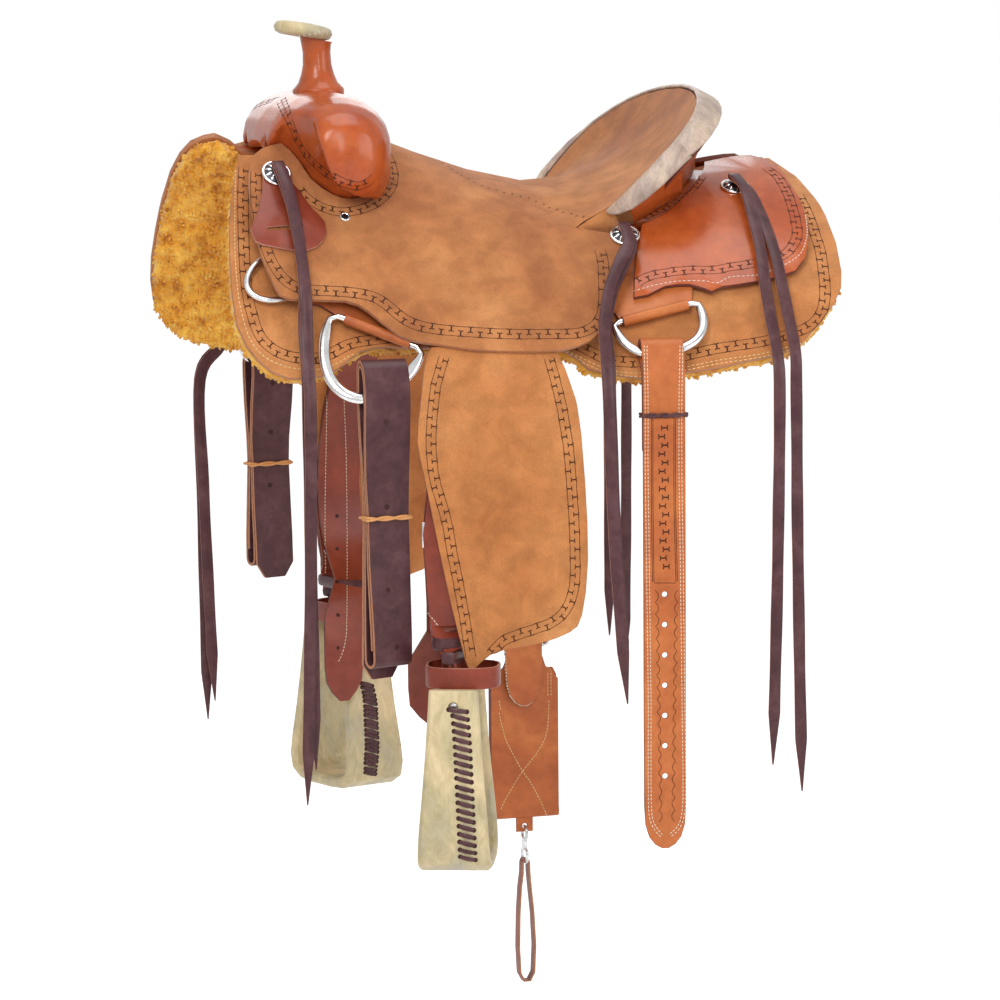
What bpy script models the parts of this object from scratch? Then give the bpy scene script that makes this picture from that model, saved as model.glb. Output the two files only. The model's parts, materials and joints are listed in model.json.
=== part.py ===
"""A western team roping saddle, modelled in metres with +Z up.

The origin is on the median plane, under the lowest point of the seat, where the tree sits on a saddle rack.
The horn is towards -X and the cantle towards +X. The left, near side is -Y and the right, off side is +Y.

Leather lies over the tree in layers. A layer is drawn flat, as a saddler cuts it, in two coordinates: x along
the horse, and arc, the distance down the side from the ridge of the back. It is then wrapped at its own lift
above the back. Everything with a left and a right is made on the right, where outwards is +Y, and mirrored.
"""

from functools import lru_cache
from math import atan2, cos, floor, hypot, pi, radians, sin, sqrt

import bmesh
import bpy
from mathutils import Matrix, Vector

MM = 0.001

# The horse's back: x, height of the ridge, slope at the ridge and slope 0.30 m down the side, in degrees
BACK = (
    (-0.38, 0.1080, 42, 64),
    (-0.30, 0.0990, 42, 64),
    (-0.22, 0.0780, 36, 65),
    (-0.15, 0.0520, 24, 66),
    (-0.11, 0.0360, 16, 66),
    (-0.07, 0.0225, 9, 66),
    (0.00, 0.0065, 3, 65),
    (0.08, 0.0120, 4, 60),
    (0.16, 0.0300, 7, 55),
    (0.25, 0.0480, 11, 50),
    (0.34, 0.0520, 13, 47),
)
BACK_ARC = 0.30
GRID_X = 0.060          # facets of the back, shared by every layer so that the layers never cross
GRID_ARC = 0.0675
CREST = 0.020           # half width of the strip over the ridge, in the seat's pattern

# Lifts of the layers above the back
FLEECE_TOP = 15.7 * MM
SKIRT_UNDER = 16.0 * MM
SKIRT_TOP = 22.0 * MM
PLATE_TOP = 26.5 * MM
BAR_UNDER = 22.8 * MM
BAR_THICK = 14.0 * MM
FENDER_LIFT = 34.65 * MM
DEE_LIFT = 30.8 * MM
SEAT_UNDER = 38.0 * MM
SEAT_TOP = 43.5 * MM
TAB_UNDER = 44.0 * MM
TAB_TOP = 47.5 * MM
JOCKEY_THICK = 4.7 * MM

# Swell and horn
SWELL_CENTRE = Vector((-0.2280, 0.0, 0.092))
SWELL_LENGTH = 0.0655   # half sizes
SWELL_WIDTH = 0.160
SWELL_RISE = 0.058
SWELL_DROP = 0.075
COVER_THICK = 4.2 * MM
GULLET_HALF = 0.050
GULLET_SPRING = 0.070
GULLET_TOP = 0.096
HORN_FOOT = Vector((-0.222, 0.0, 0.140))
HORN_HEAD = Vector((-0.2240, 0.0, 0.204))
HORN_STEM = 10.0 * MM
CAP_CENTRE = Vector((-0.238, 0.0, 0.2135))
CAP_RADIUS = 31.5 * MM
CAP_THICK = 14.0 * MM
CAP_TILT = radians(-10)

# Seat dish and cantle: the seam, in pattern coordinates, runs from the lowest point up to the rim
DISH_LENGTH = 0.160
DISH_HALF = CREST + 2 * GRID_ARC
DISH_SHIFT = 0.052 / DISH_LENGTH
DISH_STEP = 0.0265
SEAT_THICK = SEAT_TOP - SEAT_UNDER
RIM = (
    (0.183, 0.000, 0.148),
    (0.180, 0.045, 0.146),
    (0.169, 0.098, 0.138),
    (0.151, 0.142, 0.122),
    (0.127, 0.167, 0.100),
    (0.100, 0.173, 0.072),
    (0.075, 0.166, 0.045),
    (0.052, 0.150, 0.016),
)
RIM_AT = (0.0, 0.13, 0.28, 0.45, 0.62, 0.78, 0.90, 1.0)
BINDING_MIDDLE = 28.5 * MM
BINDING_TIP = 5.0 * MM
BINDING_REACH = 0.885
BOARD_GAP = 1.8 * MM
BOARD_DROP = 6.5 * MM

# Fender and stirrup
FENDER_ORIGIN = Vector((-0.100, 0.266, 0.0))
FENDER_TURN = radians(11)
FENDER_THICK = 5.0 * MM
STRAP_WIDTH = 51.0 * MM
STRAP_THICK = 3.6 * MM
STIRRUP_TURN = radians(19.5)
BOLT_Z = -0.472
BOLT_W = -0.045
BOLT_RADIUS = 4.8 * MM
STIRRUP_TOP = 17.0 * MM
STIRRUP_DROP = 0.165
LEG_THICK = 13.0 * MM
FENDER_PIVOT_W = -0.0208
FENDER_PIVOT_ARC = 0.235

# Flank cinch, hung folded on the off billet
BILLET_WIDTH = 44.5 * MM
CINCH_WIDTH = 82.0 * MM
CINCH_THICK = 4.0 * MM

STRING_WIDTH = 12.5 * MM
STRING_THICK = 3.0 * MM


# Looks

def look(name, colour, roughness=0.6, metallic=0.0):
    """A plain Principled material."""
    material = bpy.data.materials.new(name)
    material.use_nodes = True
    shader = material.node_tree.nodes["Principled BSDF"]
    shader.inputs["Base Color"].default_value = (*colour, 1.0)
    shader.inputs["Roughness"].default_value = roughness
    shader.inputs["Metallic"].default_value = metallic
    material.diffuse_color = (*colour, 1.0)
    return material


def looks():
    return {
        "roughout": look("roughout_leather", (0.56, 0.25, 0.09), 0.9),
        "smooth": look("smooth_leather", (0.47, 0.12, 0.03), 0.35),
        "tab": look("red_brown_leather", (0.25, 0.06, 0.03), 0.45),
        "latigo": look("burgundy_latigo", (0.09, 0.03, 0.03), 0.5),
        "fleece": look("woolskin", (0.80, 0.45, 0.08), 1.0),
        "rawhide": look("rawhide", (0.68, 0.56, 0.34), 0.55),
        "wood": look("tree_wood", (0.45, 0.30, 0.16), 0.7),
        "steel": look("stainless_steel", (0.75, 0.75, 0.76), 0.25, 1.0),
        "silver": look("engraved_silver", (0.80, 0.79, 0.76), 0.3, 1.0),
    }


# Mesh helpers

def blend(t):
    """0 to 1 with a smooth start and end."""
    t = min(max(t, 0.0), 1.0)
    return t * t * (3 - 2 * t)


def monotone(xs, ys, x):
    """A smooth curve through the points (xs, ys) that doesn't overshoot them."""
    steps = [b - a for a, b in zip(xs, xs[1:])]
    rates = [(b - a) / h for a, b, h in zip(ys, ys[1:], steps)]
    slopes = [rates[0]]
    for before, after in zip(rates, rates[1:]):
        slopes.append(2 / (1 / before + 1 / after) if before * after > 0 else 0.0)
    slopes.append(rates[-1])
    i = max(k for k in range(len(steps)) if k == 0 or xs[k] <= x)
    h = steps[i]
    t = min(max((x - xs[i]) / h, 0.0), 1.0)
    return (
        (2 * t**3 - 3 * t**2 + 1) * ys[i]
        + (t**3 - 2 * t**2 + t) * h * slopes[i]
        + (3 * t**2 - 2 * t**3) * ys[i + 1]
        + (t**3 - t**2) * h * slopes[i + 1]
    )


def outward(bm):
    """The same single body, with its faces turned outwards."""
    bmesh.ops.recalc_face_normals(bm, faces=bm.faces)
    return bm


def flip(bm):
    """Mirror a body to the other side of the horse."""
    bmesh.ops.scale(bm, verts=bm.verts, vec=(1, -1, 1))
    bmesh.ops.reverse_faces(bm, faces=bm.faces)


def as_mesh(bm, name):
    mesh = bpy.data.meshes.new(name)
    bm.to_mesh(mesh)
    bm.free()
    return mesh


def boolean(body, tool, operation="DIFFERENCE"):
    """The body with the tool cut away from it, or joined to it."""
    pair = []
    for bm in (body, tool):
        obj = bpy.data.objects.new("temporary", as_mesh(bm, "temporary"))
        bpy.context.collection.objects.link(obj)
        pair.append(obj)
    modifier = pair[0].modifiers.new("boolean", "BOOLEAN")
    modifier.operation = operation
    modifier.solver = "EXACT"
    modifier.object = pair[1]
    graph = bpy.context.evaluated_depsgraph_get()
    mesh = bpy.data.meshes.new_from_object(pair[0].evaluated_get(graph))
    result = bmesh.new()
    result.from_mesh(mesh)
    bmesh.ops.remove_doubles(result, verts=result.verts, dist=0.03 * MM)
    bmesh.ops.dissolve_degenerate(result, edges=result.edges, dist=0.01 * MM)
    bmesh.ops.triangulate(result, faces=[f for f in result.faces if len(f.verts) > 4])
    corners = {}
    for face in result.faces:
        corners.setdefault(frozenset(face.verts), []).append(face)
    flaps = [face for faces in corners.values() if len(faces) > 1 for face in faces]
    bmesh.ops.delete(result, geom=flaps, context="FACES")
    used = [mesh]
    for obj in pair:
        used.append(obj.data)
        bpy.data.objects.remove(obj)
    for mesh in used:
        bpy.data.meshes.remove(mesh)
    return result


def finish(bm, name, material, pivot=None, mirrored=False, angle=40):
    """Turn a mesh made on the right side into a named object, with its origin on its pivot."""
    if mirrored:
        flip(bm)
    if pivot:
        bmesh.ops.translate(bm, verts=bm.verts, vec=-pivot.location)
    mesh = as_mesh(bm, name)
    mesh.materials.append(material)
    mesh.shade_smooth()
    mesh.set_sharp_from_angle(angle=radians(angle))
    obj = bpy.data.objects.new(name, mesh)
    bpy.context.collection.objects.link(obj)
    obj.parent = pivot
    return obj


def hinge(name, point, mirrored=False):
    """An empty on a joint's axis, which the pieces that turn about it are parented to."""
    empty = bpy.data.objects.new(name, None)
    empty.empty_display_size = 0.03
    empty.location = (point.x, -point.y if mirrored else point.y, point.z)
    bpy.context.collection.objects.link(empty)
    return empty


def skin(rings, closed=False):
    """A solid skin over rings of points, capped at both ends or closed on itself."""
    bm = bmesh.new()
    loops = [[bm.verts.new(point) for point in ring] for ring in rings]
    count = len(loops[0])
    pairs = list(zip(loops, loops[1:]))
    if closed:
        pairs.append((loops[-1], loops[0]))
    else:
        bm.faces.new(loops[0])
        bm.faces.new(reversed(loops[-1]))
    for a, b in pairs:
        for k in range(count):
            n = (k + 1) % count
            bm.faces.new((a[k], b[k], b[n], a[n]))
    return outward(bm)


def evenly(path, count):
    """A number of points at equal distances along a path in two dimensions."""
    lengths = [0.0]
    for a, b in zip(path, path[1:]):
        lengths.append(lengths[-1] + hypot(b[0] - a[0], b[1] - a[1]))
    result = []
    for k in range(count):
        want = lengths[-1] * k / (count - 1)
        i = max(j for j in range(len(path) - 1) if lengths[j] <= want + 1e-12)
        t = (want - lengths[i]) / max(lengths[i + 1] - lengths[i], 1e-9)
        result.append(tuple(a + (b - a) * t for a, b in zip(path[i], path[i + 1])))
    return result


def circle(centre, axis, radius, sides, start=0.0):
    """Points round an axis."""
    axis = axis.normalized()
    across = axis.orthogonal().normalized()
    if abs(axis.z) > 0.5:
        across = (Vector((1, 0, 0)) - axis * axis.x).normalized()
    other = axis.cross(across)
    turns = [start + 2 * pi * k / sides for k in range(sides)]
    return [centre + (across * cos(t) + other * sin(t)) * radius for t in turns]


def rod(start, end, radius, sides=12):
    axis = end - start
    return skin([circle(start, axis, radius, sides), circle(end, axis, radius, sides)])


def lathe(centre, axis, profile, sides):
    """A solid turned about an axis from (radius, height) pairs."""
    axis = axis.normalized()
    return skin([circle(centre + axis * height, axis, radius, sides) for radius, height in profile])


def ribbon(stations, thickness):
    """A strap: each station is its centre, the direction across it, and its width."""
    rings = []
    for k, (centre, across, width) in enumerate(stations):
        before = stations[max(k - 1, 0)][0]
        after = stations[min(k + 1, len(stations) - 1)][0]
        across = across.normalized()
        outward = (after - before).cross(across).normalized()
        side = across * (width / 2)
        up = outward * (thickness / 2)
        rings.append([centre - side - up, centre + side - up, centre + side + up, centre - side + up])
    return skin(rings)


def rod_loop(centre, along, down, half_width, half_height, radius, power=2.0, turns=20, sides=6):
    """A closed loop of round rod, from a ring (power 2) to a rounded rectangle (power 5)."""
    normal = along.cross(down).normalized()

    def spot(t):
        c, s = cos(t), sin(t)
        size = (abs(c) ** power + abs(s) ** power) ** (-1 / power)
        return centre + along * (half_width * size * c) + down * (half_height * size * s)

    rings = []
    for k in range(turns):
        t = 2 * pi * (k + 0.5) / turns
        here = spot(t)
        tangent = (spot(t + 0.01) - spot(t - 0.01)).normalized()
        inward = normal.cross(tangent)
        rings.append([
            here + (inward * cos(q) + normal * sin(q)) * radius
            for q in (2 * pi * j / sides for j in range(sides))
        ])
    return skin(rings, closed=True)


def rod_frame(centre, along, down, half_width, half_height, corner, radius, sides=6):
    """A rounded rectangle of round rod."""
    normal = along.cross(down).normalized()
    rings = []
    for quarter in range(4):
        for step in (0.0, 0.5, 1.0):
            t = (quarter + step) * pi / 2
            c, s = cos(t), sin(t)
            sx = 1 if quarter in (0, 3) else -1
            sy = 1 if quarter in (0, 1) else -1
            here = centre + along * (sx * (half_width - corner) + corner * c)
            here += down * (sy * (half_height - corner) + corner * s)
            inward = along * c + down * s
            rings.append([
                here + (inward * cos(q) + normal * sin(q)) * radius
                for q in (2 * pi * j / sides for j in range(sides))
            ])
    return skin(rings, closed=True)


def block(centre, axes, sizes):
    """A box with its edges along three directions."""
    x, y, z = (axis.normalized() * (size / 2) for axis, size in zip(axes, sizes))
    ends = []
    for s in (-1, 1):
        ends.append([centre + z * s + x * a + y * b for a, b in ((-1, -1), (1, -1), (1, 1), (-1, 1))])
    return skin(ends)


# The back and the layers on it

@lru_cache(maxsize=None)
def back_corner(i, j):
    """A point of the back and the direction out of it, at a corner of the facets."""
    x = i * GRID_X
    arc = j * GRID_ARC
    xs = [row[0] for row in BACK]
    ridge, first, last = (monotone(xs, [row[k] for row in BACK], x) for k in (1, 2, 3))
    first = radians(first)
    turn = (radians(last) - first) / BACK_ARC
    slope = first + turn * arc
    base = Vector((x, (sin(slope) - sin(first)) / turn, ridge + (cos(slope) - cos(first)) / turn))
    return base, Vector((0.0, sin(slope), cos(slope)))


def over_back(x, arc, lift):
    """A point on the right side of the back, in its facets, raised by lift: a number or a function."""
    i = floor(x / GRID_X + 1e-7)
    j = floor(arc / GRID_ARC + 1e-7)
    u = x / GRID_X - i
    v = arc / GRID_ARC - j
    if u > v:
        corners = ((i, j, 1 - u), (i + 1, j, u - v), (i + 1, j + 1, v))
    else:
        corners = ((i, j, 1 - v), (i, j + 1, v - u), (i + 1, j + 1, u))
    point = Vector()
    for m, n, weight in corners:
        base, out = back_corner(m, n)
        here = lift(m * GRID_X, n * GRID_ARC) if callable(lift) else lift
        point += (base + out * here) * weight
    return point


def over_ridge(x, across, lift):
    """The same for a pattern that crosses the ridge: across is signed and has the crest in its middle."""
    if abs(across) >= CREST:
        point = over_back(x, abs(across) - CREST, lift)
        return Vector((point.x, point.y if across > 0 else -point.y, point.z))
    ridge = over_back(x, 0.0, 0.0)
    edge = over_back(x, 0.0, lift) - ridge
    angle = atan2(edge.y, edge.z) * across / CREST
    size = hypot(edge.y, edge.z)
    return ridge + Vector((0.0, size * sin(angle), size * cos(angle)))


def rounded(outline, sharp=()):
    """The outline with a point between each two, on a smooth curve. Sharp names corners to keep."""
    result = []
    count = len(outline)
    for k in range(count):
        p0, p1, p2, p3 = (outline[(k + d) % count] for d in (-1, 0, 1, 2))
        result.append(p1)
        if hypot(p2[0] - p1[0], p2[1] - p1[1]) < 0.018:
            continue
        if k in sharp:
            p0 = p1
        if (k + 1) % count in sharp:
            p3 = p2
        result.append(tuple((9 * (b + c) - a - d) / 16 for a, b, c, d in zip(p0, p1, p2, p3)))
    return result


def snapped(value, step, shift=0.0):
    """The value, moved onto a facet line when it is nearly on it."""
    line = round((value - shift) / step) * step + shift
    return line if abs(value - line) < 2.0 * MM else value


def slice_pattern(bm, point, normal, keep=None):
    faces = [f for f in bm.faces if keep is None or keep(f.calc_center_median())]
    edges = list({e for f in faces for e in f.edges})
    verts = list({v for f in faces for v in f.verts})
    bmesh.ops.bisect_plane(bm, geom=verts + edges + faces, dist=1e-6, plane_co=point, plane_no=normal)


def flat_pattern(outline, sharp=()):
    """A flat piece of leather, cut along the facet lines of the back."""
    bm = bmesh.new()
    points = [(snapped(x, GRID_X), snapped(arc, GRID_ARC)) for x, arc in rounded(outline, sharp)]
    bm.faces.new([bm.verts.new((x, arc, 0.0)) for x, arc in points])
    lows = [min(p[k] for p in points) for k in (0, 1)]
    highs = [max(p[k] for p in points) for k in (0, 1)]
    for i in range(floor(lows[0] / GRID_X), floor(highs[0] / GRID_X) + 2):
        slice_pattern(bm, (i * GRID_X, 0, 0), (1, 0, 0))
    for j in range(floor(lows[1] / GRID_ARC), floor(highs[1] / GRID_ARC) + 2):
        slice_pattern(bm, (0, j * GRID_ARC, 0), (0, 1, 0))
    first = floor(lows[0] / GRID_X - highs[1] / GRID_ARC)
    last = floor(highs[0] / GRID_X - lows[1] / GRID_ARC)
    for k in range(first, last + 2):
        slice_pattern(bm, (k * GRID_X, 0, 0), (1 / GRID_X, -1 / GRID_ARC, 0))
    return bm


def thicken(pattern, upper, under):
    """A solid between two surfaces, each a function of a point of the flat pattern."""
    bmesh.ops.triangulate(pattern, faces=pattern.faces)
    pattern.verts.index_update()
    solid = bmesh.new()
    tops = [solid.verts.new(upper(v.co.x, v.co.y)) for v in pattern.verts]
    lows = [solid.verts.new(under(v.co.x, v.co.y)) for v in pattern.verts]
    for face in pattern.faces:
        ids = [v.index for v in face.verts]
        solid.faces.new([tops[i] for i in ids])
        solid.faces.new([lows[i] for i in reversed(ids)])
    for edge in pattern.edges:
        if len(edge.link_faces) == 1:
            a, b = (v.index for v in edge.verts)
            solid.faces.new((tops[a], tops[b], lows[b], lows[a]))
    pattern.free()
    return outward(solid)


def layer(outline, top, under, sharp=()):
    """A wrapped sheet on the right side. Top and under are lifts, or functions of x and arc."""
    return thicken(
        flat_pattern(outline, sharp), lambda x, arc: over_back(x, arc, top), lambda x, arc: over_back(x, arc, under)
    )


# Tree

def bar_thickness(x):
    """The tree bars thin out towards their rear tips."""
    return BAR_THICK * (1 - 0.75 * min(max((x - 0.12) / 0.12, 0.0), 1.0))


def bar_top(x, _arc=0.0):
    return BAR_UNDER + bar_thickness(x)


BAR_OUTLINE = (
    (-0.305, 0.060), (-0.300, 0.130), (-0.250, 0.145), (-0.150, 0.120), (-0.050, 0.110), (0.050, 0.120),
    (0.150, 0.133), (0.215, 0.110), (0.225, 0.060), (0.180, 0.030), (0.050, 0.018), (-0.100, 0.020),
    (-0.200, 0.035), (-0.280, 0.045),
)


def over_bars(gap):
    """What is cut away from the pieces that stand on the bars: the bars and everything under them."""
    outline = ((-0.34, 0.034), (-0.34, 0.26), (0.25, 0.26), (0.25, 0.012), (0.05, 0.012), (-0.10, 0.014))
    return layer(
        outline, lambda x, arc: bar_top(x) + gap, -0.110, sharp=range(len(outline))
    )


def both_sides(make, body):
    """Cut a tool away from both sides of a body."""
    body = boolean(body, make())
    tool = make()
    flip(tool)
    return boolean(body, tool)


def swell_solid(grow, around=20, along=12):
    """The swell: flat topped from front to back, round from side to side, grown by an offset."""
    length = SWELL_LENGTH + grow
    width = SWELL_WIDTH + grow
    rings = []
    for k in range(along + 1):
        t = pi * (k - along / 2) / (along + 0.35)
        y = width * (abs(sin(t)) ** (2 / 2.9)) * (1 if t > 0 else -1 if t < 0 else 0)
        size = cos(t) ** (2 / 2.9)
        ring = []
        for j in range(around):
            q = 2 * pi * (j + 0.5) / around
            c, s = cos(q), sin(q)
            power = 2.15 if s > 0 else 3.6
            reach = size * (abs(c) ** power + abs(s) ** power) ** (-1 / power)
            height = (SWELL_RISE if s > 0 else SWELL_DROP) + grow
            ring.append(SWELL_CENTRE + Vector((length * c * reach, y, height * s * reach)))
        rings.append(ring)
    return skin(rings)


def gullet_arch(grow):
    """The tunnel under the fork that clears the withers."""
    half = GULLET_HALF + grow
    rise = GULLET_TOP - GULLET_SPRING + grow
    arch = [(half * cos(pi * k / 11), GULLET_SPRING + rise * sin(pi * k / 11)) for k in range(12)]
    outline = [(half, -0.02)] + arch + [(-half, -0.02)]
    return skin([[Vector((x, y, z)) for y, z in outline] for x in (-0.36, -0.10)])


SWELL_CUTOUT = (
    (-0.290, 0.047), (-0.277, 0.041), (-0.269, 0.050), (-0.262, 0.062), (-0.253, 0.084), (-0.233, 0.101),
    (-0.214, 0.104), (-0.194, 0.094), (-0.181, 0.080), (-0.171, 0.057), (-0.164, 0.028), (-0.160, 0.010),
)


def seat_round_swell():
    """What the seat leather, and the room above its front corners, take from the foot of the swell."""
    gap = 1.8 * MM
    foot = []
    for k, (x, arc) in enumerate(SWELL_CUTOUT):
        before = SWELL_CUTOUT[max(k - 1, 0)]
        after = SWELL_CUTOUT[min(k + 1, len(SWELL_CUTOUT) - 1)]
        run, drop = after[0] - before[0], after[1] - before[1]
        foot.append((x + gap * drop / hypot(run, drop), arc - gap * run / hypot(run, drop)))
    outline = [(-0.335, 0.040)] + foot + [(-0.120, 0.008), (-0.120, 0.240), (-0.335, 0.240)]

    def top(x, arc):
        return SEAT_TOP + 0.5 * MM + 0.150 * blend((-0.205 - x) / 0.105)

    return layer(outline, top, -0.100, sharp=range(len(outline)))


def make_tree(look_of):
    for side, mirrored in (("left", True), ("right", False)):
        bar = layer(BAR_OUTLINE, bar_top, BAR_UNDER)
        finish(bar, "tree_bar_" + side, look_of["wood"], mirrored=mirrored)

    finish(cut_fork(-COVER_THICK - 0.5 * MM), "tree_fork", look_of["wood"])
    cover = boolean(cut_fork(0.0), swell_solid(-COVER_THICK))
    finish(cover, "swell_cover", look_of["smooth"])


def cut_fork(grow):
    """The swell with all that is cut from it: the bars, the seat round its foot, the gullet and the horn's hole."""
    fork = both_sides(lambda: over_bars(0.4 * MM), swell_solid(grow))
    fork = both_sides(seat_round_swell, fork)
    fork = boolean(fork, gullet_arch(0.0))
    radius = HORN_STEM + 0.4 * MM
    ends = [Vector((HORN_FOOT.x, 0, z)) for z in (0.116, 0.2)]
    hole = skin([circle(end, Vector((0, 0, 1)), radius, 12, 0.13) for end in ends])
    return boolean(fork, hole)


def make_horn(look_of):
    """The wrapped neck with its flared collar, which follows the swell, and the cap on its pin."""
    lean = (HORN_HEAD - HORN_FOOT).normalized()
    cap_axis = Vector((-sin(CAP_TILT), 0, cos(CAP_TILT)))
    flare = (
        (27.5, 0.0), (27.5, 11.0), (25.5, 13.5), (21.0, 18.5), (17.6, 27.0), (15.3, 37.0), (14.8, 50.0), (15.8, 58.0),
    )
    sides = 20
    rings = [circle(HORN_FOOT + lean * (h * MM), lean, r * MM, sides) for r, h in flare]
    head = CAP_CENTRE - cap_axis * (CAP_THICK / 2 + 0.4 * MM)
    seat = head + Vector((HORN_HEAD.x - head.x, 0, (HORN_HEAD.x - head.x) * sin(CAP_TILT)))
    rings.append(circle(seat, cap_axis, 17.5 * MM, sides))
    rings.append(circle(seat, cap_axis, 8.0 * MM, sides))
    rings.append(circle(seat + cap_axis * 0.005, cap_axis, 8.0 * MM, sides))
    neck = boolean(skin(rings), swell_solid(0.4 * MM))
    bottom = Vector((HORN_FOOT.x, 0, 0.118))
    stem = rod(bottom, Vector((HORN_FOOT.x, 0, 0.165)), HORN_STEM, sides)
    neck = boolean(neck, stem, "UNION")
    finish(neck, "horn", look_of["smooth"])

    edge = CAP_THICK / 2
    profile = [(CAP_RADIUS - edge + edge * cos(t), edge * sin(t)) for t in (-pi / 2, -pi / 4, 0.0, pi / 4)]
    profile += [(CAP_RADIUS - edge, edge), (0.010, edge + 1.2 * MM)]
    cap = lathe(CAP_CENTRE, cap_axis, profile, 28)
    cap = boolean(cap, rod(seat - cap_axis * 0.004, seat + cap_axis * 0.0054, 8.4 * MM, sides))
    finish(cap, "horn_cap", look_of["rawhide"])


# Seat and cantle

def rim_point(across):
    """The cantle's rim, across from -1 at its left tip to 1 at its right tip."""
    side = -1 if across < 0 else 1
    q = min(abs(across), 1.0)
    x, y, z = (monotone(RIM_AT, [row[k] for row in RIM], q) for k in range(3))
    if q >= 0.9:
        tip = over_ridge(DISH_LENGTH * DISH_SHIFT, DISH_HALF, SEAT_TOP)
        t = blend((q - 0.9) / 0.1)
        x, y, z = (a + (b - a) * t for a, b in zip((x, y, z), tip))
    return Vector((x, side * y, z))


def dish(up, across):
    """The seat's hollow: up from 0 at the lowest line to 1 at the rim, across from -1 to 1."""
    q = abs(across)
    side = -1 if across < 0 else 1
    start = over_ridge(0.0, across * DISH_HALF, SEAT_TOP)
    end = rim_point(across)
    reach = (end - start).length
    lean = Vector((0.5 - 0.25 * q, side * 0.45 * q, 0.87)).normalized()
    p1 = start + Vector((0.45 * reach, 0, 0))
    p2 = end - lean * (0.35 * reach)
    t = up
    point = start * (1 - t) ** 3 + p1 * (3 * t * (1 - t) ** 2) + p2 * (3 * t * t * (1 - t)) + end * t**3
    if q > 0:
        e0 = over_ridge(0.0, side * DISH_HALF, SEAT_TOP)
        e3 = rim_point(side)
        far = (e3 - e0).length
        lean = Vector((0.25, side * 0.45, 0.87)).normalized()
        e1 = e0 + Vector((0.45 * far, 0, 0))
        e2 = e3 - lean * (0.35 * far)
        edge = e0 * (1 - t) ** 3 + e1 * (3 * t * (1 - t) ** 2) + e2 * (3 * t * t * (1 - t)) + e3 * t**3
        flank = over_ridge(up * DISH_LENGTH * DISH_SHIFT, side * DISH_HALF, SEAT_TOP)
        point += (flank - edge) * q**4
    return point


def dish_out(up, across):
    """The direction out of the hollow, towards the rider."""
    step = 0.01
    along = dish(min(up + step, 1.0), across) - dish(up - step, across)
    over = dish(up, min(across + step, 1.0)) - dish(up, max(across - step, -1.0))
    return along.cross(over).normalized()


def rim_rise(q):
    """The direction square to the rim, up the hollow, with the hollow's stretch in it as its length."""
    tangent = (rim_point(q + 0.01) - rim_point(q - 0.01)).normalized()
    rise = (dish(1.0, q) - dish(0.97, q)) / 0.03
    return rise - tangent * rise.dot(tangent)


def below_rim(q, distance):
    """How far up the hollow a line runs that stays a distance below the rim."""
    return 1.0 - distance / rim_rise(q).length


def seat_point(p, across, depth):
    """The seat and side jockeys in one piece. Depth is measured in from the outer face."""
    if p <= 0:
        return over_ridge(p, across, SEAT_TOP - depth)
    if abs(across) >= DISH_HALF - 1e-6:
        return over_ridge(p * DISH_SHIFT, across, SEAT_TOP - depth)
    up = p / DISH_LENGTH
    q = across / DISH_HALF
    return dish(up, q) - dish_out(up, q) * depth


SEAT_EDGE = (
    (-0.309, 0.062), (-0.319, 0.085), (-0.323, 0.116), (-0.323, 0.152), (-0.321, 0.187), (-0.312, 0.219), (-0.298, 0.232), (-0.241, 0.226),
    (-0.217, 0.236), (-0.190, 0.259), (-0.152, 0.268), (-0.094, 0.276), (-0.033, 0.278), (0.000, 0.269),
    (0.025, 0.252), (0.037, 0.233), (0.053, 0.188), (0.062, 0.152),
)


SEAT_NOTCH = ((0.34, 1.0), (0.42, 0.95), (0.54, 0.91), (0.70, 0.887), (0.86, 0.874))   # in front of the rim's tips


def seat_outline():
    """The whole pattern: round the swell, down the right edge, over the rim and up the left edge."""
    whole = SWELL_CUTOUT[::-1] + SEAT_EDGE
    edge = rounded(whole, sharp=(0, len(whole) - 1))
    edge = edge[:edge.index(SEAT_EDGE[-1]) + 1]
    half = [(-0.157, 0.0)]
    for x, arc in edge:
        p = x / DISH_SHIFT if x > 0 else x
        half.append((snapped(p, GRID_X if p < 0 else DISH_STEP), snapped(arc, GRID_ARC) + CREST))
    for up, q in SEAT_NOTCH:
        half.append((up * DISH_LENGTH, q * DISH_HALF))
    for q in (0.86, 0.83, 0.79, 0.72, 0.6, 0.48, 0.36, 0.24, 0.12, 0.0):
        half.append((below_rim(q, 2.2 * MM) * DISH_LENGTH, q * DISH_HALF))
    left = [(p, -across) for p, across in half[-2:0:-1]]
    return half + left


def seat_layer(outer, inner):
    """The seat's whole pattern, bent to shape between two depths."""
    bm = bmesh.new()
    bm.faces.new([bm.verts.new((p, across, 0.0)) for p, across in seat_outline()])
    for i in range(-6, 1):
        slice_pattern(bm, (i * GRID_X, 0, 0), (1, 0, 0))
    for i in range(1, 8):
        slice_pattern(bm, (i * DISH_STEP, 0, 0), (1, 0, 0))
    for j in range(0, 5):
        for side in (-1, 1):
            slice_pattern(bm, (0, side * (CREST + j * GRID_ARC), 0), (0, 1, 0))
    slice_pattern(bm, (0, 0, 0), (0, 1, 0))

    def in_dish(c):
        return c.x > 0 and abs(c.y) < DISH_HALF

    for j in (0.33, 0.67, 1.33, 1.6, 1.76):
        for side in (-1, 1):
            slice_pattern(bm, (0, side * (CREST + j * GRID_ARC), 0), (0, 1, 0), in_dish)
    for side in (-1, 1):
        def on_flap(c, side=side):
            return c.x < 0 and c.y * side > CREST

        for k in range(-12, 1):
            start = (k * GRID_X, side * CREST, 0)
            slice_pattern(bm, start, (1 / GRID_X, -side / GRID_ARC, 0), on_flap)
    return thicken(bm, lambda p, a: seat_point(p, a, outer), lambda p, a: seat_point(p, a, inner))


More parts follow.
